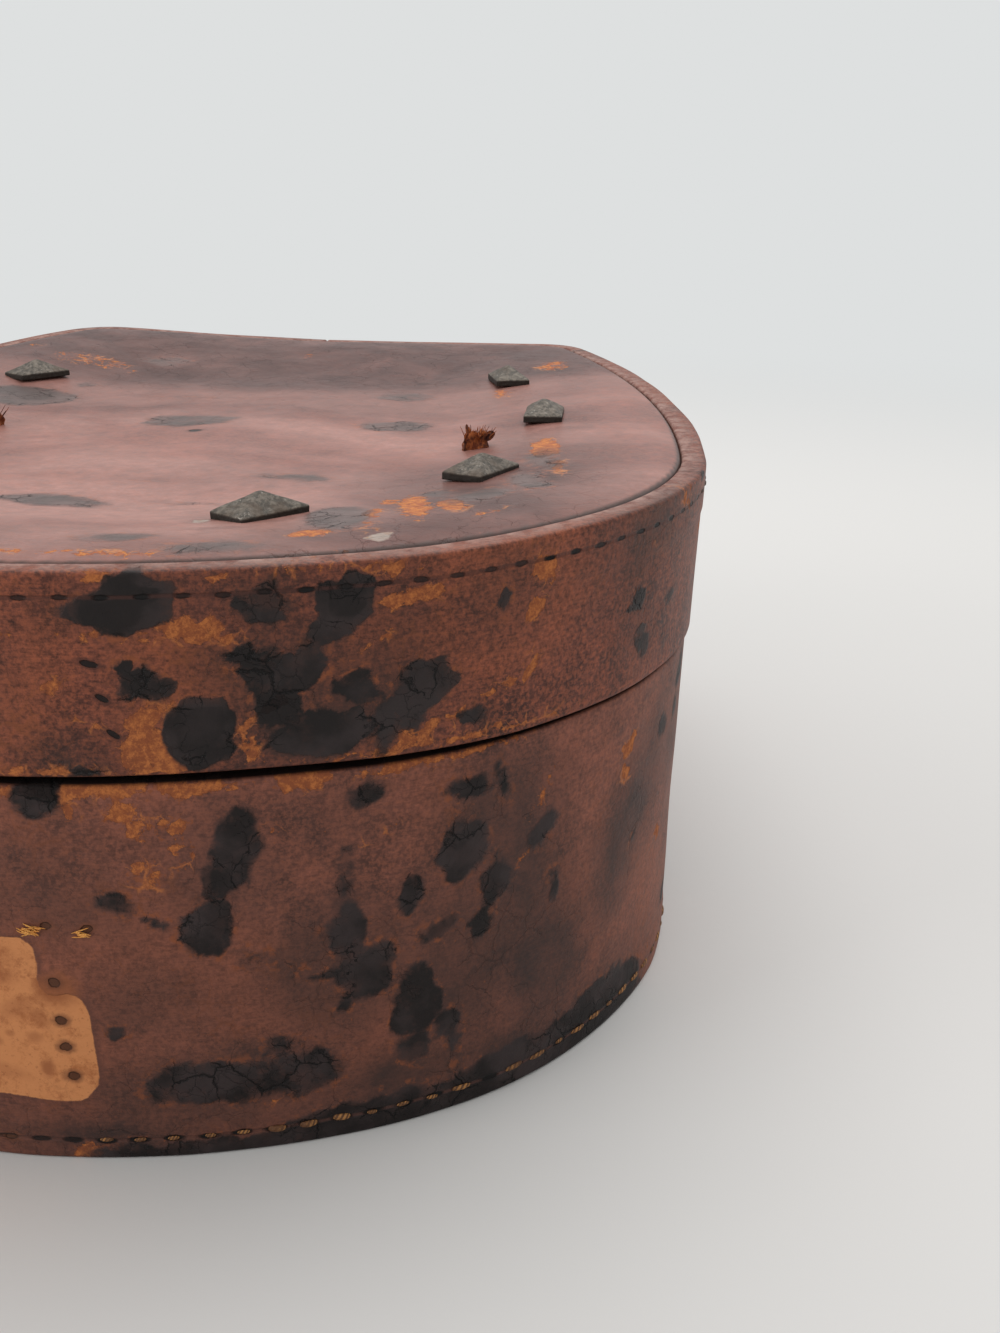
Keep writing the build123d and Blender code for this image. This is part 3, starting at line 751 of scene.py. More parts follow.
lidWallSet = {
    "thickness": 3.2 * mm, "step": 1.1 * mm, "rounding": 0.55 * mm, "flare": (-0.6 * mm, 0.55 * mm, 0.22 * mm),
    "gape": 0.6 * mm, "gapeReach": (0.078, 0.099), "gapLevel": lidFoot / mm, "soft": 1.25,
    "stains": [(21.8, 79.2, 6.2, 2.3, 4, 1.18), (24.6, 81.4, 4.4, 2.4, 0, 1.18), (20.6, 76.9, 1, 0.9),
               (48.6, 79, 4.2, 3.9, 0, 1.12), (46.4, 75.4, 3.4, 1.6, 20), (31, 62.8, 4.5, 4.7, 0, 1.08),
               (58.2, 66.4, 4.3, 4.1, 20), (50.4, 67.4, 3.2, 2.9, 0, 0.88), (44.6, 61.6, 7.2, 3.7, 5, 0.92),
               (53.2, 61, 1.6, 3.2, 0, 0.9), (41.4, 70.8, 6.0, 3.4, 10, 0.9), (37, 72.9, 2.4, 2.0, 0, 0.85),
               (40.6, 66, 3, 2.4, 0, 0.8), (38.6, 79.4, 4.4, 3, 0, 0.68), (55, 62.5, 4, 2.6, 0, 0.66),
               (24.8, 69.4, 2.9, 2.7), (23, 72.7, 1.6, 1.4), (21.8, 66.6, 0.8, 1), (70, 76.4, 1.5, 2.2, 10, 0.85),
               (16.5, 58.9, 3.4, 1, 3), (66, 61.6, 1.8, 2, 0, 0.8)],
    "scuffs": [(24.4, 65.4, 2.6, 1.3, 25), (22.8, 63, 0.9, 1.6), (24.4, 60.6, 3, 2.7), (27.4, 58.6, 1.6, 1.2),
               (32.3, 77.2, 1.7, 0.9, -15), (34.6, 75.6, 1.9, 0.8, -40), (57.8, 79, 3.2, 0.9, 4), (54, 78.4, 1.2, 1.1),
               (74.8, 74.4, 2.2, 1.3, 30), (76.4, 79.6, 2.2, 2.4, 0, 0.8), (38.6, 65.4, 3.2, 0.7, 32),
               (35.4, 63.4, 1, 0.8), (36.6, 60.4, 0.9, 1.4, 30), (60.6, 61, 3.8, 0.8, 22), (56, 60, 1.2, 2.2, 30, 0.8),
               (70.6, 64.6, 3.6, 0.5, 14), (74.8, 66.6, 0.8, 3, -18, 0.75), (21, 83.4, 2.4, 0.5),
               # The thin lines along the lower edge, 58.2 to 58.5 mm up, are partly wear and partly a painted highlight
               # on the lower cut edge
               (34, 83.2, 2, 0.6, 0, 0.8), (54.4, 82.9, 3, 0.7), (8, 58.3, 8, 0.4), (25, 58.3, 4, 0.6),
               (62, 58.5, 12, 0.5, 1), (50, 58.2, 5, 0.4), (4, 76.7, 10, 0.45, 0, 0.85), (21, 76.2, 5, 0.4, -4, 0.8),
               (30, 76.4, 3.4, 1.6, -20, 0.9), (14, 69.5, 2.4, 1.2, 20, 0.6), (44, 83.4, 4, 0.4, 0, 0.7),
               (17.6, 64.6, 1.8, 0.5, -10, 0.7), (52.4, 73.4, 1.6, 0.35, 35, 0.8), (26.6, 75.6, 6, 0.4, 2, 0.65)],
    "shade": [(40, 71, 9, 7), (50, 66, 10, 9), (45, 61, 12, 7), (37, 79, 9, 5, 0, 0.85), (16, 59, 5, 3),
              (70, 77, 6, 5, 0, 0.6), (-6, 68, 16, 14, 0, 0.4), (54, 76, 6, 8, 0, 0.6)],
    "slits": [(18.4, 72.4, 1.05, 0.38, -12), (19.6, 67.9, 0.8, 0.34, -32), (20.4, 63.2, 0.85, 0.34, -38)],
}
lidSeam = {"level": lidTop - 3.2 * mm, "pitch": 4.68 * mm, "shift": -0.42 * mm, "halfLength": 1.0 * mm,
           "halfHeight": 0.36 * mm, "boldFrom": 9 * mm}


# How many marks, and of what size, the sides out of view get
wallStrays = {"seen": (-40, 92),
              "marks": {"stains": (58, (1.2, 5.2)), "scuffs": (60, (0.6, 2.2)), "shade": (30, (7, 15))}}


def makeWall(name, route, foot, rim, settings, randomSeed):
    wall = flatSheet(name, 2 * route["half"] - 0.14 * mm, foot, rim, settings["step"])
    applyModifier(wall, "SOLIDIFY", thickness=settings["thickness"], offset=-1)
    applyModifier(wall, "BEVEL", width=settings["rounding"], segments=3, limit_method="ANGLE",
                  angle_limit=math.radians(60))
    storeFlatPlace(wall)
    places = getPlaces(wall)
    x, z = places[:, 0] / mm, places[:, 2] / mm
    span, reach = (foot / mm, rim / mm), route["half"] / mm
    stains, scuffs, shade = (
        settings[kind] + strayMarks(count, randomSeed + k, (-reach, reach), span, sizes, wallStrays["seen"])
        for k, (kind, (count, sizes)) in enumerate(wallStrays["marks"].items()))
    bare = shapeMask(x, z, settings["scar"], 0.9) if "scar" in settings else np.zeros(len(x))
    # Cut edges and the inner face take the rim colour: paler raw leather, partly a painted highlight
    cutEdgeAndHighlight = np.clip((places[:, 1] / mm - 0.35) / 0.9, 0, 1)
    rx, rz = strayed(x, z, 1.9, 5.0)
    fx, fz = strayed(x, z, 1.0, 2.4)
    # Painted shade on the faces that meet the gap between lid and base
    gapSide = np.clip(1.4 - np.abs(z - settings["gapLevel"]) / 0.4, 0, 1)
    dirtAndShade = gapSide * np.clip((places[:, 1] / mm - 0.12) / 0.4, 0, 1)
    shaded = np.maximum(ovalMask(rx, rz, shade, 5), 0.72 * ovalMask(rx, rz, stains, 3.2))
    paint(wall, ovalMask(rx, rz, stains, settings["soft"]), ovalMask(fx, fz, scuffs, 0.8), bare, shaded, cutEdgeAndHighlight, dirtAndShade)
    bendRound(wall, route, settings["flare"])
    smoothShade(wall)
    return wall


baseWall = makeWall("baseWall", baseRoute, 0, baseTop, baseWallSet, 11)
baseHide = makeHide("baseHide", baseLook, [baseSeam], baseWallSet["pricks"], baseWallSet["blotches"])
settle(baseWall, baseHide, "base", ["base_wall"])
print("base wall done")

lidWall = makeWall("lidWall", lidRoute, lidFoot, lidTop, lidWallSet, 31)
riseLid(lidWall)
places = getPlaces(lidWall)
share = np.clip((places[:, 2] - lidFoot) / (lidTop - lidFoot), 0, 1)
places[:, 2] += lidWallSet["gape"] * ease(-places[:, 1], *lidWallSet["gapeReach"]) * (1 - share)
setPlaces(lidWall, places)
settle(lidWall, makeHide("lidHide", lidLook, [lidSeam], lidWallSet["slits"]), "lid", ["lid_wall"])
print("lid wall done")


def makeSheet(name, route, around, rings, thickness, level, fold=None):
    # Rings that close in to the middle, after a flange and a rounded fold where the sheet has them
    foldSteps = 6
    lead = foldSteps + 2 if fold else 1
    rows = lead + rings
    bpy.ops.mesh.primitive_grid_add(x_subdivisions=around, y_subdivisions=rows - 1, size=1)
    sheet = bpy.context.object
    sheet.name = sheet.data.name = name
    places = getPlaces(sheet)
    column = np.round((places[:, 0] + 0.5) * around).astype(int)
    row = np.round((places[:, 1] + 0.5) * (rows - 1)).astype(int)
    middle = Vector((0, 0.004))
    spots = [routePoint(route, (2 * i / around - 1) * route["half"]) for i in range(around + 1)]
    radius, flange = fold if fold else (0, 0)
    for i in range(len(places)):
        spot, out = spots[column[i]]
        step = row[i] - lead + 1
        inward, drop, share = radius, 0, 1 - max(step, 0) / rings
        if fold and row[i] == 0:
            inward, drop = 0, flange
        elif step < 0:
            bend = (1 + step / foldSteps) * math.pi / 2
            inward, drop = radius * (1 - math.cos(bend)), radius * (1 - math.sin(bend))
        start = Vector((spot.x - out.x * inward, spot.y - out.y * inward))
        point = middle + (start - middle) * share
        places[i] = (point.x, point.y, -drop)
    places[:, 2] += level(places[:, 0], places[:, 1])
    setPlaces(sheet, places)
    only(sheet)
    bpy.ops.object.mode_set(mode="EDIT")
    bpy.ops.mesh.select_all(action="SELECT")
    bpy.ops.mesh.remove_doubles(threshold=0.00002)
    bpy.ops.mesh.normals_make_consistent(inside=False)
    bpy.ops.object.mode_set(mode="OBJECT")
    if sum(face.normal.z * face.area for face in sheet.data.polygons) < 0:
        sheet.data.flip_normals()
    applyModifier(sheet, "SOLIDIFY", thickness=thickness, offset=-1)
    smoothShade(sheet, 60)
    return sheet


lidPanelSet = {
    "inset": -3.3 * mm, "fold": (1.1 * mm, 6 * mm), "thickness": 2.2 * mm, "around": 430, "rings": 76,
    "rumple": (0.55 * mm, 0.22 * mm), "shoulder": 0.35 * mm,
    # place across and along the lid, half sizes, turn, strength (mm, degrees)
    "stains": [(-5, -59.6, 9.5, 4.2, -8, 0.9), (17.8, -88.7, 4.4, 2.2, 12, 0.9), (31.2, -91.8, 6.6, 2.3, 18, 0.9),
               (41.8, -72.5, 9.5, 4.2, 103), (-5.5, 8, 8.5, 6, 10, 0.74), (34.6, 7.5, 8, 5.5, 8, 0.72),
               (31, 39, 6, 5, 0, 0.62), (28, -39, 7, 3.4, -12, 0.64), (-46, 26, 9.5, 9.5, 0, 0.92),
               (58.6, -57, 7.5, 3.2, 70, 0.85), (64.8, -46, 7, 3, 100, 0.9), (52.6, -53, 5, 2.4, 90, 0.7),
               (17, -57.4, 3.6, 0.7, -6, 0.8), (6, -42.6, 5, 0.7, -4, 0.7), (-7, 33, 9, 0.9, 3, 0.62),
               (-56, -13, 7, 5, 0, 0.8), (-30, 68, 6, 4, 0, 0.66), (66, -30, 3, 9, 5, 0.7)],
    "scuffs": [(50.8, -64.5, 9.5, 2.0, 101), (45.8, -70.4, 4.5, 1.3, 100, 0.8), (46.2, -60, 3.6, 1.2, 96, 0.75),
               (56, -64.6, 5.2, 1.8, 100), (40.6, -84, 2.6, 2.2, 10), (45.6, -91.8, 2.2, 0.7, 24),
               (65.2, -20, 8, 2.2, 96), (68.6, -36, 6, 1.6, 100, 0.75), (62, -70, 3, 1, 60, 0.7),
               (51.6, 37, 6, 2.4, 95, 0.55), (60, 66, 4, 6, 0, 0.55), (-46, 62, 11, 5, -8, 0.38),
               (47, -78.5, 1.2, 3.4, 10, 0.75), (4, -97.3, 2, 0.55), (8.4, -97.2, 2, 0.55), (12.9, -97, 2, 0.6),
               (17.6, -96.6, 2.2, 0.6, 4), (22.6, -96.2, 2, 0.7, 8), (-5, -97.4, 2, 0.5)],
    "pale": [(50.1, -84.6, 1.8, 2.8, -10, 0.8), (23.6, -74.6, 1.3, 1.9, 0, 0.8), (27.4, -81.2, 4, 1.2, 20, 0.55)],
    "shade": [(0, 104, 110, 66, 0, 1), (0, 62, 90, 52, 0, 0.42), (-50, 20, 26, 34, 0, 0.4), (60, -60, 14, 30, 30, 0.9),
              (54, -81, 19, 9, 32, 1.15), (66, -40, 10, 26, 10, 0.95), (-10, -92, 60, 4, 0, 0.45),
              (24, -93, 16, 5, 12, 0.6), (28, -39, 12, 7, 0, 0.4)],
    "puncture": [(-1, -2.2, 1.0, 0.9, 0)],
    # count, seed, across, along, sizes, and the part across that the photograph shows
    "strayStains": (8, 5, (-80, 80), (-60, 95), (2.5, 5), (-40, 80)),
    "strayScuffs": (8, 7, (-80, 60), (50, 100), (1, 2.2), (0, 50)),
    # halo sizes the painted shade round each nail's foot
    "halo": (9.5, 7.5, 0, 0.8), "gapWidth": 4.3,
}
nailPlaces = {name: (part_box(name)[0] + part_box(name)[1]) / 2 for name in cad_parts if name.startswith("nail_")}


def panelLevel(x, y):
    away = edgeDistance(x, y)
    coarse, fine = lidPanelSet["rumple"]
    rumple = np.array([coarse * wave(a, b, 0, 0.031) + fine * wave(a, b, 2, 0.012) for a, b in zip(x, y)])
    shoulder = lidPanelSet["shoulder"] * ease(away, 3.5 * mm, 7 * mm)
    return lidTop + 0.1 * mm - dishDrop(x, y) + rumple * ease(away, 5 * mm, 16 * mm) + shoulder + rimRise(x, y)


def underLevel(skin):
    # The card and the lining lie under the panel and follow its dish
    return lambda x, y: lidTop - skin - dishDrop(x, y) + rimRise(x, y)


def makeLidPanel():
    s = lidPanelSet
    route = planRoute(outline["lidGrow"] + s["inset"], s["inset"])
    panel = makeSheet("lidPanel", route, s["around"], s["rings"], s["thickness"], panelLevel, s["fold"])
    storeFlatPlace(panel, (0, 2, 1))
    places = getPlaces(panel)
    x, y = places[:, 0] / mm, places[:, 1] / mm
    # Painted shade round the foot of each nail, added to the soft shade
    nailShade = [(spot.x / mm, spot.y / mm, *s["halo"]) for spot in nailPlaces.values()]
    stains = s["stains"] + strayMarks(*s["strayStains"])
    scuffs = s["scuffs"] + strayMarks(*s["strayScuffs"])
    # Painted shade in the groove along the panel's edge, gapWidth mm wide
    dirtAndShade = np.clip((s["gapWidth"] - edgeDistance(places[:, 0], places[:, 1]) / mm) / 0.5, 0, 1)
    shade = np.maximum(ovalMask(x, y, s["shade"], 9), 0.5 * ovalMask(x, y, nailShade, 3))
    rx, ry = strayed(x, y, 1.8, 8)
    fx, fy = strayed(x, y, 1.1, 3)
    pale = 0.9 * ovalMask(fx, fy, s["pale"], 0.9)
    paint(panel, ovalMask(rx, ry, stains, 1.8), ovalMask(fx, fy, scuffs, 1.1), pale, shade, np.zeros(len(x)), dirtAndShade)
    return panel


lidPanel = makeLidPanel()
settle(lidPanel, makeHide("topHide", topLook, (), lidPanelSet["puncture"]), "lid", ["lid_top_panel"])
print("lid panel done")

liningSet = {"floorLevel": 5.0 * mm, "floor": 0.8 * mm, "cardSkin": 2.3 * mm, "card": 1.5 * mm, "topSkin": 3.85 * mm,
             "top": 0.7 * mm, "around": 230, "rings": 34, "neckDrop": 24 * mm, "step": 2.2 * mm}
clothRed = makeCloth("liningCloth", [(0.235, 0.040, 0.040), (0.140, 0.026, 0.028), (0.330, 0.075, 0.066),
                                     (0.070, 0.026, 0.022)])
board = makeBoard("pasteboard", [(0.420, 0.320, 0.210), (0.300, 0.215, 0.130), (0.190, 0.110, 0.055)])


def makeBand(name, grow, heelGrow, bottom, top, thickness):
    # A strip of cloth or card that stands round inside a wall
    route = planRoute(grow, heelGrow)
    strip = flatSheet(name, 2 * route["half"] - 0.3 * mm, bottom, top, liningSet["step"])
    applyModifier(strip, "SOLIDIFY", thickness=thickness, offset=-1)
    bendRound(strip, route)
    smoothShade(strip, 50)
    return strip


def dropAtHeel(piece, bottom, high, low):
    # The neck stops short of the hinge
    places = getPlaces(piece)
    share = ease(places[:, 1], heelY - liningSet["neckDrop"] - 1.5 * mm, heelY - liningSet["neckDrop"] + 0.5 * mm)
    places[:, 2] = bottom + (places[:, 2] - bottom) * (1 - share * (high - low) / (high - bottom))
    setPlaces(piece, places)


def floorLevel(x, y):
    return np.array([liningSet["floorLevel"] + 0.12 * mm * wave(a, b, 1, 0.02) for a, b in zip(x, y)])


floorLining = makeSheet("floorLining", planRoute(-6.2 * mm, -6.2 * mm), liningSet["around"], liningSet["rings"],
                        liningSet["floor"], floorLevel)
settle(floorLining, clothRed, "base", ["base_floor_lining"])
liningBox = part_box("base_wall_lining")
baseLining = makeBand("baseLining", -5.5 * mm, -5.5 * mm, liningBox[0][2], liningBox[1][2], 0.6 * mm)
dropAtHeel(baseLining, liningBox[0][2], liningBox[1][2], baseTop - 1 * mm)
settle(baseLining, clothRed, "base", ["base_wall_lining"])
for name, part, material, node, slot in (("lidCard", "card", board, "lid_top_card", "pasteboard"),
                                         ("lidLining", "top", clothRed, "lid_top_lining", "lining_cloth")):
    sheet = makeSheet(name, planRoute(outline["lidGrow"] - 5.6 * mm, -5.6 * mm), liningSet["around"],
                      liningSet["rings"], liningSet[part], underLevel(liningSet[part + "Skin"]))
    settle(sheet, material, "lid", [node])
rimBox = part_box("lid_wall_lining")
lidWallLining = makeBand("lidWallLining", outline["lidGrow"] - 3.3 * mm, -3.3 * mm, rimBox[0][2], rimBox[1][2],
                         1.2 * mm)
riseLid(lidWallLining)
settle(lidWallLining, clothRed, "lid", ["lid_wall_lining"])
for name in ("neck_card", "base_floor_board"):
    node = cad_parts[name]
    node.data.materials.clear()
    node.data.materials.append(board)
print("linings done")

bindingSet = {"outer": -2.85 * mm, "inner": -6.05 * mm, "foot": 56.7 * mm, "top": 63.95 * mm, "thickness": 0.45 * mm,
              "round": 0.8 * mm, "columns": 300}


def makeBinding():
    # A narrow strip folded over the top of the neck, up one side and down the other
    s = bindingSet
    arc = [math.radians(a) for a in range(0, 91, 18)]
    outerArc = [(s["outer"] - s["round"] * (1 - math.cos(a)), s["top"] - s["round"] * (1 - math.sin(a))) for a in arc]
    innerArc = [(s["inner"] + s["round"] * (1 - math.cos(a)), s["top"] - s["round"] * (1 - math.sin(a)))
                for a in reversed(arc)]
    legs = [s["foot"] + (s["top"] - s["round"] - s["foot"]) * i / 5 for i in range(5)]
    profile = [(s["outer"], z) for z in legs] + outerArc + innerArc + [(s["inner"], z) for z in reversed(legs)]
    reach = baseRoute["half"]
    while routePoint(baseRoute, reach)[0].y > heelY - liningSet["neckDrop"] - 0.3 * mm:
        reach -= 0.5 * mm
    bpy.ops.mesh.primitive_grid_add(x_subdivisions=s["columns"], y_subdivisions=len(profile) - 1, size=1)
    strip = bpy.context.object
    strip.name = strip.data.name = "neckBinding"
    places = getPlaces(strip)
    for i, (x, y, z) in enumerate(places):
        along = 2 * x * reach
        grow, level = profile[round((y + 0.5) * (len(profile) - 1))]
        spot, out = routePoint(baseRoute, along)
        level += 0.12 * mm * wave(along, 0, 9, 0.015) * (level > s["foot"] + 1 * mm)
        places[i] = (spot.x + out.x * grow, spot.y + out.y * grow, level)
    setPlaces(strip, places)
    applyModifier(strip, "SOLIDIFY", thickness=s["thickness"], offset=-1)
    smoothShade(strip, 50)
    return strip


binding = makeBinding()
bindingLook = dict(lidLook, brown=(0.110, 0.040, 0.030), deep=(0.066, 0.026, 0.020), warm=(0.170, 0.062, 0.040),
                   gloss=0.58)
settle(binding, makeHide("bindingHide", bindingLook), "base", ["neck_binding"])
print("neck binding done")

hingeSet = {"width": 92 * mm, "leaf": 17.1 * mm, "thickness": 1.6 * mm, "corner": 4 * mm, "step": 0.95 * mm,
            "rounding": 0.35 * mm, "inset": 2.85 * mm, "pitch": 4.3 * mm, "bend": 2.6 * mm,
            "stitch": (3.3 * mm, 0.62 * mm, 0.8 * mm), "missing": 0.08, "ripple": 0.14 * mm, "crease": 0.10 * mm,
            "creaseReach": 2.2 * mm, "shade": [(0, 57, 50, 5, 0, 0.8), (-20, 45, 16, 7), (25, 68, 14, 6)],
            "rubbed": [(-45.4, 60, 0.6, 12), (45.4, 52, 0.6, 10)]}
foldZ = (baseTop + lidFoot) / 2
strapLook = dict(lidLook, brown=(0.120, 0.042, 0.028), deep=(0.060, 0.023, 0.017), warm=(0.190, 0.062, 0.032),
                 gloss=0.5)


def makeHinge():
    # One strap across the heel, sewn to base and lid, with fine creases along the fold
    s = hingeSet
    strap = flatSheet("hingeStrap", s["width"], foldZ - s["leaf"], foldZ + s["leaf"], s["step"])
    places = getPlaces(strap)
    for i, (x, y, z) in enumerate(places):
        a = abs(x) - (s["width"] / 2 - s["corner"])
        b = abs(z - foldZ) - (s["leaf"] - s["corner"])
        if a > 0 and b > 0:
            pull = max(a, b) / math.hypot(a, b)
            x = math.copysign(s["width"] / 2 - s["corner"] + a * pull, x)
            z = foldZ + math.copysign(s["leaf"] - s["corner"] + b * pull, z - foldZ)
            places[i] = (x, y, z)
    setPlaces(strap, places)
    applyModifier(strap, "SOLIDIFY", thickness=s["thickness"], offset=-1)
    applyModifier(strap, "BEVEL", width=s["rounding"], segments=2, limit_method="ANGLE", angle_limit=math.radians(60))
    storeFlatPlace(strap)
    places = getPlaces(strap)
    x, z = places[:, 0] / mm, places[:, 2] / mm
    rx, rz = strayed(x, z, 1.2, 5)
    creases = [(k * 11 - 40, foldZ / mm + 0.5 * math.sin(k * 2.3), 6, 0.4, 0, 0.62) for k in range(8)]
    stains = strayMarks(7, 51, (-44, 44), (41, 73), (1.2, 3.6))
    scuffs = creases + strayMarks(9, 52, (-45, 45), (40, 74), (0.6, 1.5)) + s["rubbed"]
    # Cut edges and the inner face: paler raw leather, partly a painted highlight
    cutEdgeAndHighlight = np.clip((places[:, 1] / mm - 0.25) / 0.5, 0, 1)
    clean = np.zeros(len(x))
    paint(strap, ovalMask(rx, rz, stains, 1), ovalMask(rx, rz, scuffs, 0.7), clean, ovalMask(rx, rz, s["shade"], 4),
          cutEdgeAndHighlight, clean)
    # Uneven hide with fine creases along the fold
    ripple = np.array([s["ripple"] * wave(a, c, 1, 0.012)
                       + s["crease"] * math.sin(a / 0.0021) * math.exp(-((c - foldZ) / s["creaseReach"]) ** 2)
                       for a, b, c in places])
    places[:, 1] += np.where(places[:, 1] < s["thickness"] / 2, ripple, 0)
    places[:, 0] *= -1
    places[:, 1] = heelY + s["thickness"] - places[:, 1]
    setPlaces(strap, places)
    smoothShade(strap)
    return strap


hinge = makeHinge()
settle(hinge, makeHide("strapHide", strapLook), None, ["hinge_base_leaf", "hinge_lid_leaf"])
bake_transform(hinge)
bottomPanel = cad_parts["base_bottom_panel"]
bottomPanel.data.materials.clear()
bottomPanel.data.materials.append(makeHide("soleHide", dict(baseLook, grain=0.8)))
print("hinge and bottom panel done")

threadSet = {"sides": 7, "rings": 7, "dip": 0.30, "tiltMost": 0.12, "slip": 0.25 * mm, "stray": 0.12 * mm}
tanThread = makeThread("tanThread", [(0.380, 0.175, 0.055), (0.120, 0.050, 0.020), (0.095, 0.040, 0.017)])
darkThread = makeThread("darkThread", [(0.105, 0.044, 0.024), (0.045, 0.020, 0.013), (0.016, 0.009, 0.007)])


def makeStitchModel(sides, rings):
    # One unit long, blunt-ended, its ends dipping into the hide: X along, Y inwards
    bpy.ops.mesh.primitive_uv_sphere_add(segments=sides, ring_count=rings, radius=0.5, rotation=(0, math.pi / 2, 0))
    stitch = bpy.context.object
    placeInMesh(stitch)
    places = getPlaces(stitch)
    along = np.clip(np.abs(places[:, 0]) * 2, 0, 0.985)
    fuller = (1 - along ** 2) ** -0.22
    places[:, 1] *= fuller
    places[:, 2] *= fuller
    places[:, 1] += threadSet["dip"] * (2 * places[:, 0]) ** 2
    setPlaces(stitch, places)
    smoothShade(stitch, 80)
    return stitch


stitchModel = makeStitchModel(threadSet["sides"], threadSet["rings"])
strandModel = makeStitchModel(5, 6)


def faceFinder(piece):
    corners = [vertex.co.copy() for vertex in piece.data.vertices]
    return BVHTree.FromPolygons(corners, [tuple(face.vertices) for face in piece.data.polygons])


def layPiece(model, spot, along, out, size, tilt=0.0):
    # size is (length, depth, width); out points away from the hide
    along, inward = along.normalized(), -out.normalized()
    across = along.cross(inward)
    place = Matrix((along * size[0], inward * size[1], across * size[2])).transposed().to_4x4()
    if tilt:
        place = Matrix.Rotation(tilt, 4, inward) @ place
    return copyPiece(model, Matrix.Translation(spot) @ place)


def wallSpot(finder, route, s, z):
    spot, out = routePoint(route, s)
    out = Vector((out.x, out.y, 0))
    hit = finder.ray_cast(Vector((spot.x, spot.y, z)) + out * 0.02, -out)[0]
    return hit, out, Vector((-out.y, out.x, 0))


def sewWall(name, wall, route, seam, seed, choose, rise=False):
    # choose gives each stitch's length, width and lift from its place along the seam
    finder, draw, laid = faceFinder(wall), random.Random(seed), []
    count = int(route["half"] / seam["pitch"]) + 1
    for k in range(-count, count):
        s = (k + 0.5) * seam["pitch"] + seam["shift"]
        size = choose(s / mm, draw)
        if abs(s) > route["half"] - 1.5 * mm or size is None:
            continue
        s += draw.uniform(-threadSet["slip"], threadSet["slip"])
        z = seam["level"] + draw.uniform(-threadSet["stray"], threadSet["stray"])
        if rise:
            x, y = routePoint(route, s)[0]
            z += rimRise(x, y) * (seam["level"] - lidFoot) / (lidTop - lidFoot)
        spot, out, along = wallSpot(finder, route, s, z)
        length, width, lift = size
        tilt = draw.uniform(-threadSet["tiltMost"], threadSet["tiltMost"])
        laid.append(layPiece(stitchModel, spot + out * lift * mm, along, out,
                             (length * mm, width * 0.8 * mm, width * mm), tilt))
    return joinPieces(name, laid)


def chooseBase(s, draw):
    # None leaves the stitch out; otherwise length, width and lift in mm
    if -12 < s < 11 or draw.random() < 0.1:
        return None
    if 11 <= s < 34 or 48 <= s < 62:
        return (1.5 + 0.5 * draw.random(), 0.66, 0.0)
    if 34 <= s < 48:
        return (2.6, 1.05, 0.08)
    if 62 <= s < 74:
        return (3.2, 0.85, 0.06)
    if draw.random() < 0.35:
        return (1.7, 0.66, 0.0)
    return (3.3 + draw.uniform(-0.4, 0.2), 0.78, 0.04)


def chooseLid(s, draw):
    if -62 < s < 9:
        return (4.5, 0.62, 0.05)
    if s < 120 and s > 0 or draw.random() < 0.5:
        return None
    return (3.4 + draw.uniform(-0.8, 0.2), 0.6, 0.0)


baseStitches = sewWall("baseStitches", baseWall, baseRoute, baseSeam, 3, chooseBase)
settle(baseStitches, tanThread, "base", ["base_seam_thread"])
lidStitches = sewWall("lidStitches", lidWall, lidRoute, lidSeam, 4, chooseLid, True)
settle(lidStitches, darkThread, "lid", ["lid_seam_thread"])


def sewHinge(name, upwards, seed):
    s, draw, laid = hingeSet, random.Random(seed), []
    sideX, farZ = s["width"] / 2 - s["inset"], s["leaf"] - s["inset"]
    rows = [(x, farZ, (1, 0, 0)) for x in np.arange(-sideX + 3.2 * mm, sideX - 2.4 * mm, s["pitch"])]
    rows += [(side * sideX, z, (0, 0, 1)) for side in (-1, 1) for z in np.arange(4.6 * mm, farZ - 1.6 * mm, s["pitch"])]
    for x, z, along in rows:
        if draw.random() < s["missing"]:
            continue
        spot = Vector((x, heelY + s["thickness"] + 0.02 * mm, foldZ + upwards * z))
        laid.append(layPiece(stitchModel, spot, Vector(along), Vector((0, 1, 0)), s["stitch"], draw.uniform(-0.1, 0.1)))
    return joinPieces(name, laid)


settle(sewHinge("hingeBaseStitches", -1, 5), tanThread, "base", ["hinge_base_thread"])
settle(sewHinge("hingeLidStitches", 1, 6), tanThread, "lid", ["hinge_lid_thread"])
print("stitches done")

nailSet = {"length": 11.6 * mm, "width": 7.0 * mm, "skirt": 1.2 * mm, "rise": 2.4 * mm, "tip": 0.08, "bevel": 0.14 * mm,
           "hammered": 0.08 * mm}
nailTurns = {"nail_right_toe": 54, "nail_right_quarter": 65, "nail_right_flank": 92, "nail_right_heel": 106,
             "nail_left_toe": -54, "nail_left_quarter": -65, "nail_left_flank": -92, "nail_left_heel": -124}


def makeIron():
    material, tree, shader, place = newMaterial("nailIron", {"metal": 0.25, "specular": 0.4})
    low = tree.attribute("skirtShade")["Fac"]
    grit = tree.cloud(place, 900, 7, 0.75)
    patch = tree.cloud(place, 230, 5, 0.6)
    pits = tree.add("ShaderNodeTexVoronoi", {"Vector": place, "Scale": 1300})["Distance"]
    colour = tree.blend(tree.step(grit, 0.40, 0.62), (0.060, 0.050, 0.039), (0.190, 0.160, 0.128))
    colour = tree.blend(tree.step(patch, 0.46, 0.66) * 0.6, colour, (0.095, 0.062, 0.040))
    glints = tree.step(tree.cloud(place, 1900, 4, 0.8), 0.58, 0.68) * tree.step(patch, 0.62, 0.40)
    colour = tree.blend(glints * 0.75, colour, (0.520, 0.470, 0.410))
    colour = tree.blend(low * (0.65 + grit * 0.5), colour, (0.014, 0.010, 0.007))
    rough = 0.46 + grit * 0.3
    height = grit * 0.14 + pits * 0.10
    finish(tree, shader, colour, rough, height)
    return material


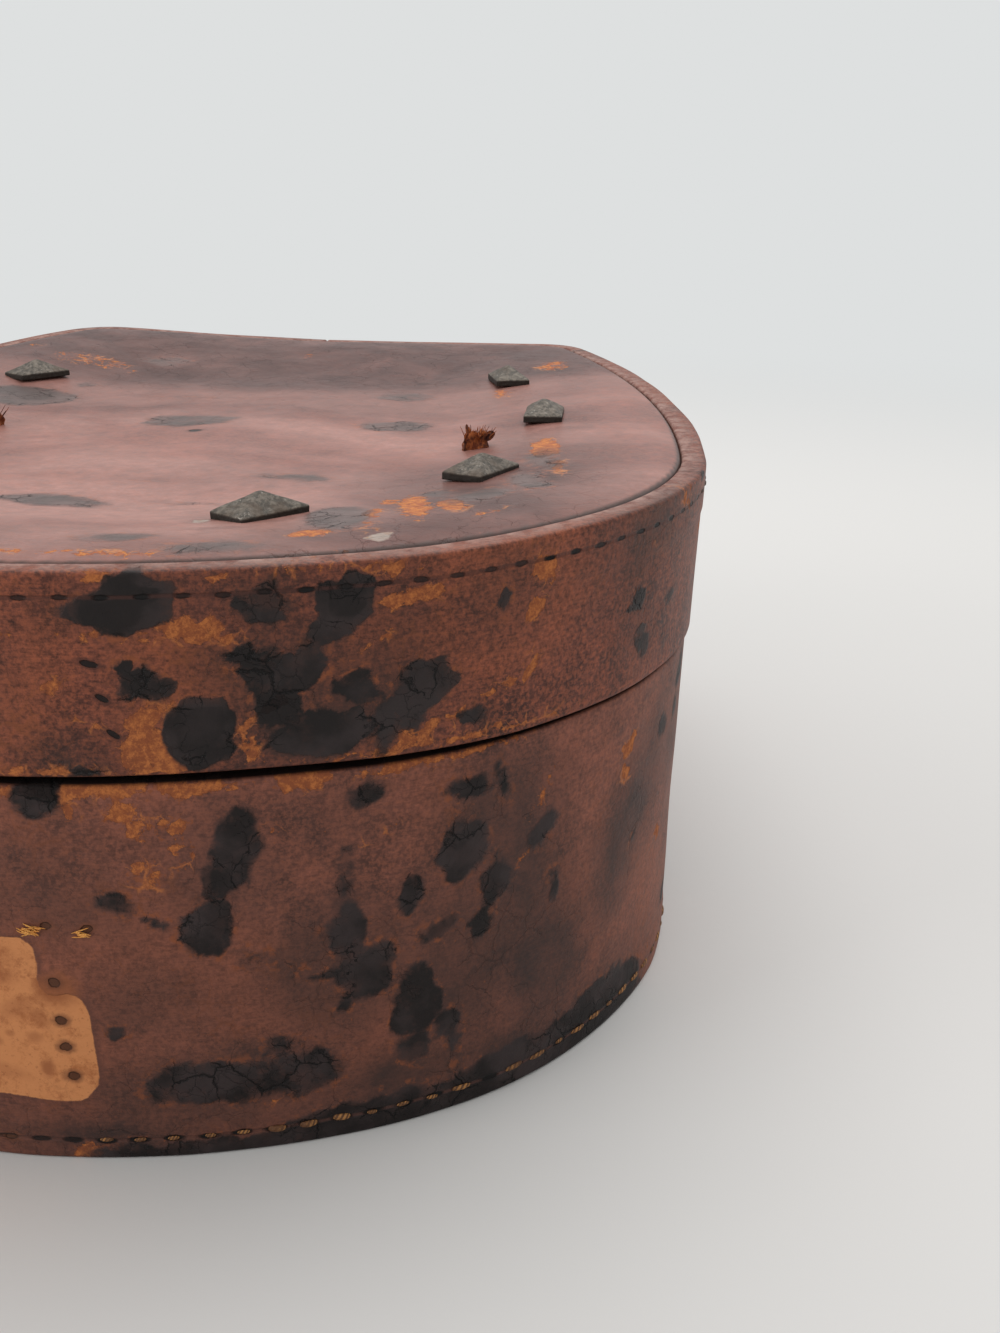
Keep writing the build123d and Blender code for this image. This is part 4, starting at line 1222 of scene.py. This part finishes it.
def makeNail():
    n = nailSet
    bpy.ops.mesh.primitive_cube_add(size=1, location=(0, 0, 0))
    nail = bpy.context.object
    nail.scale = (n["length"], n["width"], n["skirt"])
    nail.location = (0, 0, n["skirt"] / 2)
    placeInMesh(nail)
    bpy.ops.object.mode_set(mode="EDIT")
    bpy.ops.mesh.select_mode(type="FACE")
    bpy.ops.mesh.select_all(action="DESELECT")
    shape = bmesh.from_edit_mesh(nail.data)
    for face in shape.faces:
        face.select = face.normal.z > 0.9
    bmesh.update_edit_mesh(nail.data)
    bpy.ops.mesh.extrude_region_move(TRANSFORM_OT_translate={"value": (0, 0, n["rise"])})
    bpy.ops.transform.resize(value=(n["tip"], n["tip"], 1))
    bpy.ops.mesh.select_all(action="SELECT")
    bpy.ops.mesh.bevel(offset=n["bevel"], segments=2, affect="EDGES")
    bpy.ops.mesh.select_all(action="SELECT")
    bpy.ops.mesh.subdivide(number_cuts=5)
    bpy.ops.object.mode_set(mode="OBJECT")
    return nail


iron = makeIron()
nailModel = makeNail()
for order, (name, middle) in enumerate(sorted(nailPlaces.items())):
    px, py = middle.x, middle.y
    turned = Matrix.Rotation(math.radians(nailTurns[name]), 4, "Z")
    nail = copyPiece(nailModel, Matrix.Translation((px, py, 0)) @ turned)
    nail.name = nail.data.name = "head_" + name
    placeInMesh(nail)
    seat = float(panelLevel(np.array([px]), np.array([py]))[0])
    places = getPlaces(nail)
    kept = nail.data.attributes.new("skirtShade", "FLOAT", "POINT")
    shade = 1 - ease(places[:, 2], nailSet["skirt"] - 0.25 * mm, nailSet["skirt"] + 0.05 * mm)
    kept.data.foreach_set("value", shade.astype(np.float32))
    for i, (a, b, c) in enumerate(places):
        fine, coarse = wave(a, b, c, 0.0022, order), wave(a, b, c, 0.006, order)
        bump = fine * nailSet["hammered"] + coarse * 2 * nailSet["hammered"]
        away = Vector((a - px, b - py, c * 2)).normalized()
        places[i] = (a + away.x * bump, b + away.y * bump, c + away.z * bump)
    places[:, 2] += seat - 0.1 * mm
    setPlaces(nail, places)
    smoothShade(nail, 28)
    settle(nail, iron, "lid", [name])
bpy.data.objects.remove(nailModel)
print("nails done")

tuftSet = {"width": 4.5 * mm, "depth": 2.8 * mm, "rise": 2.7 * mm, "tongues": 10, "fibres": 26, "back": 2.4 * mm}
stubPlaces = {"right": ("handle_stub_right", 0.594, 12), "left": ("handle_stub_left", -0.456, -20)}


def makeRawHide():
    material, tree, shader, place = newMaterial("tornHide", {"specular": 0.25})
    fibres = tree.cloud(tree.stretch(place, (1, 1, 0.35)), 1500, 5, 0.7)
    dirtAndShade = tree.cloud(place, 330, 4, 0.65)
    colour = tree.blend(tree.step(fibres, 0.36, 0.62), (0.130, 0.028, 0.011), (0.430, 0.130, 0.036))
    colour = tree.blend(tree.step(dirtAndShade, 0.47, 0.60), colour, (0.046, 0.012, 0.008))
    finish(tree, shader, colour, 0.75, fibres + dirtAndShade, 0.0004)
    return material


def makeTuft(name, x, y, turn, seed):
    # The torn end of a strap: a stump with split tongues and loose fibres
    s, draw = tuftSet, random.Random(seed)
    ground = lidTop - float(dishDrop(x, y)[0]) + float(rimRise(x, y))
    bpy.ops.mesh.primitive_cube_add(size=1)
    stump = bpy.context.object
    stump.scale = (s["width"], s["depth"], s["rise"])
    placeInMesh(stump)
    bpy.ops.object.mode_set(mode="EDIT")
    bpy.ops.mesh.select_all(action="SELECT")
    bpy.ops.mesh.subdivide(number_cuts=9)
    bpy.ops.object.mode_set(mode="OBJECT")
    places = getPlaces(stump)
    for i, (a, b, c) in enumerate(places):
        high = max(0, c / s["rise"] + 0.5)
        tear = 1.1 * wave(a, b, 0, 0.0011, seed) + 0.5 * wave(a, b, 0, 0.0005, seed)
        places[i] = (a * (1 - 0.22 * high) + 0.5 * mm * wave(a, b, c, 0.0012, 3),
                     b * (1 - 0.1 * high) + 0.4 * mm * wave(a, b, c, 0.0012, 8), c + high ** 2 * tear * 1.5 * mm)
    setPlaces(stump, places)
    pieces = [stump]
    for k in range(s["tongues"] + s["fibres"]):
        flat = k < s["tongues"]
        foot = Vector((draw.uniform(-0.46, 0.46) * s["width"], draw.uniform(-0.42, 0.42) * s["depth"],
                       s["rise"] * draw.uniform(0.1, 0.4)))
        lean = Vector((foot.x / s["width"] * 1.5 + draw.uniform(-0.35, 0.35),
                       foot.y / s["depth"] * 1.2 + draw.uniform(-0.3, 0.3), draw.uniform(0.5, 1.1)))
        length = draw.uniform(1.8, 3.0) * mm if flat else draw.uniform(1.6, 3.4) * mm
        size = (length, 0.35 * mm, draw.uniform(0.7, 1.3) * mm) if flat else (length, 0.12 * mm, 0.13 * mm)
        side = Vector((draw.uniform(-1, 1), draw.uniform(-1, 1), 0.1))
        side = (side - lean.normalized() * side.dot(lean.normalized())).normalized()
        pieces.append(layPiece(strandModel, foot + lean.normalized() * length * 0.4, lean, side, size))
    tuft = joinPieces(name, pieces)
    middle = Matrix.Translation((x, y, ground + s["rise"] / 2 - 0.4 * mm))
    tuft.matrix_world = middle @ Matrix.Rotation(math.radians(turn), 4, "Z")
    placeInMesh(tuft)
    smoothShade(tuft, 40)
    return tuft


rawHide = makeRawHide()
halfWidth = planRoute(0, 0)["arcs"][1][0].x + outline["quarter"]
for side, (node, across, turn) in stubPlaces.items():
    x = across * halfWidth
    y = (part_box(node)[0].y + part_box(node)[1].y) / 2 + tuftSet["back"]
    settle(makeTuft("tornStub_" + side, x, y, turn, len(side)), rawHide, "lid", [node])
print("torn stubs done")


def makeFuzz(name, s, z, spread, count, seed):
    # Frayed ends of the thread that held the front strap
    finder, draw, laid = faceFinder(baseWall), random.Random(seed), []
    for k in range(count):
        spot, out, along = wallSpot(finder, baseRoute, (s + draw.gauss(0, spread)) * mm, (z + draw.gauss(0, 0.32)) * mm)
        lean = along * draw.uniform(0.6, 1) + Vector((0, 0, draw.uniform(-0.5, 0.35))) + out * draw.uniform(0, 0.45)
        face = (out - lean.normalized() * out.dot(lean.normalized())).normalized()
        laid.append(layPiece(strandModel, spot + out * draw.uniform(0, 0.35) * mm, lean, face,
                             (draw.uniform(1.2, 2.6) * mm, 0.16 * mm, 0.17 * mm)))
    return joinPieces(name, laid)


paleThread = makeThread("paleThread", [(1.0, 0.520, 0.130), (0.820, 0.340, 0.075), (0.760, 0.320, 0.080)])
for name, s, z, spread, count, seed in (("strapThreadA", 6.6, 35.9, 1.0, 26, 71),
                                        ("strapThreadB", 13.1, 35.6, 0.4, 9, 72)):
    fuzz = makeFuzz(name, s, z, spread, count, seed)
    fuzz.data.materials.append(paleThread)
    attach(fuzz, "base")
bpy.data.objects.remove(stitchModel)
bpy.data.objects.remove(strandModel)
print("loose threads done")

stageSet = {"floor": (0.700, 0.690, 0.672), "back": (0.730, 0.745, 0.745), "fill": 0.62, "blendFrom": 0.26,
            "blendTo": 0.85, "target": (0, 0, 0.05),
            # place, size, power
            "lamps": {"topSoftbox": ((0.1, 0.30, 0.9), 0.9, 5.5), "leftSoftbox": ((-0.9, -0.6, 0.45), 0.6, 2.9)}}


def seenShare(tree):
    # 1 where the background is looked at, straight or in a gloss, 0 where it only gives light
    path = tree.add("ShaderNodeLightPath")
    return tree.reckon("MAXIMUM", path["Is Camera Ray"],
                       tree.reckon("MAXIMUM", path["Is Glossy Ray"], path["Is Transmission Ray"]))


bpy.ops.mesh.primitive_plane_add(size=8, location=(0, 1.5, 0))
floor = bpy.context.object
floor.name = "floor"
placeInMesh(floor)
material, tree, shader, place = newMaterial("floorPaper", {"specular": 0.2})
finish(tree, shader, stageSet["floor"], 0.7, tree.cloud(place, 400, 3), 0.00003)
seen = seenShare(tree)
distance = tree.add("ShaderNodeVectorMath", {0: place}, operation="LENGTH")["Value"]
farShare = seen * tree.step(distance, stageSet["blendFrom"], stageSet["blendTo"])
glow = tree.add("ShaderNodeEmission", {"Color": (*stageSet["back"], 1), "Strength": 1.0})
mixed = tree.add("ShaderNodeMixShader", {0: farShare, 1: Value(tree, shader.outputs[0]), 2: glow[0]})
tree.put(mixed[0], material.node_tree.nodes["Material Output"].inputs["Surface"])
floor.data.materials.append(material)

world = scene.world = scene.world or bpy.data.worlds.new("studio")
world.use_nodes = True
world.node_tree.nodes.clear()
tree = Shading(world.node_tree)
seenBack = seenShare(tree)
fillLight = tree.add("ShaderNodeBackground", {"Color": (1, 1, 1, 1), "Strength": stageSet["fill"]})
seenLight = tree.add("ShaderNodeBackground", {"Color": (*stageSet["back"], 1), "Strength": 1.0})
mixed = tree.add("ShaderNodeMixShader", {0: seenBack, 1: fillLight[0], 2: seenLight[0]})
tree.put(mixed[0], tree.add("ShaderNodeOutputWorld").node.inputs[0])


def addLamp(name, place, size, power):
    bpy.ops.object.light_add(type="AREA", location=place)
    lamp = bpy.context.object
    lamp.name = name
    lamp.data.size = size
    lamp.data.energy = power
    lamp.rotation_euler = (Vector(stageSet["target"]) - Vector(place)).to_track_quat("-Z", "Y").to_euler()


for name, lamp in stageSet["lamps"].items():
    addLamp(name, *lamp)
print("stage done")
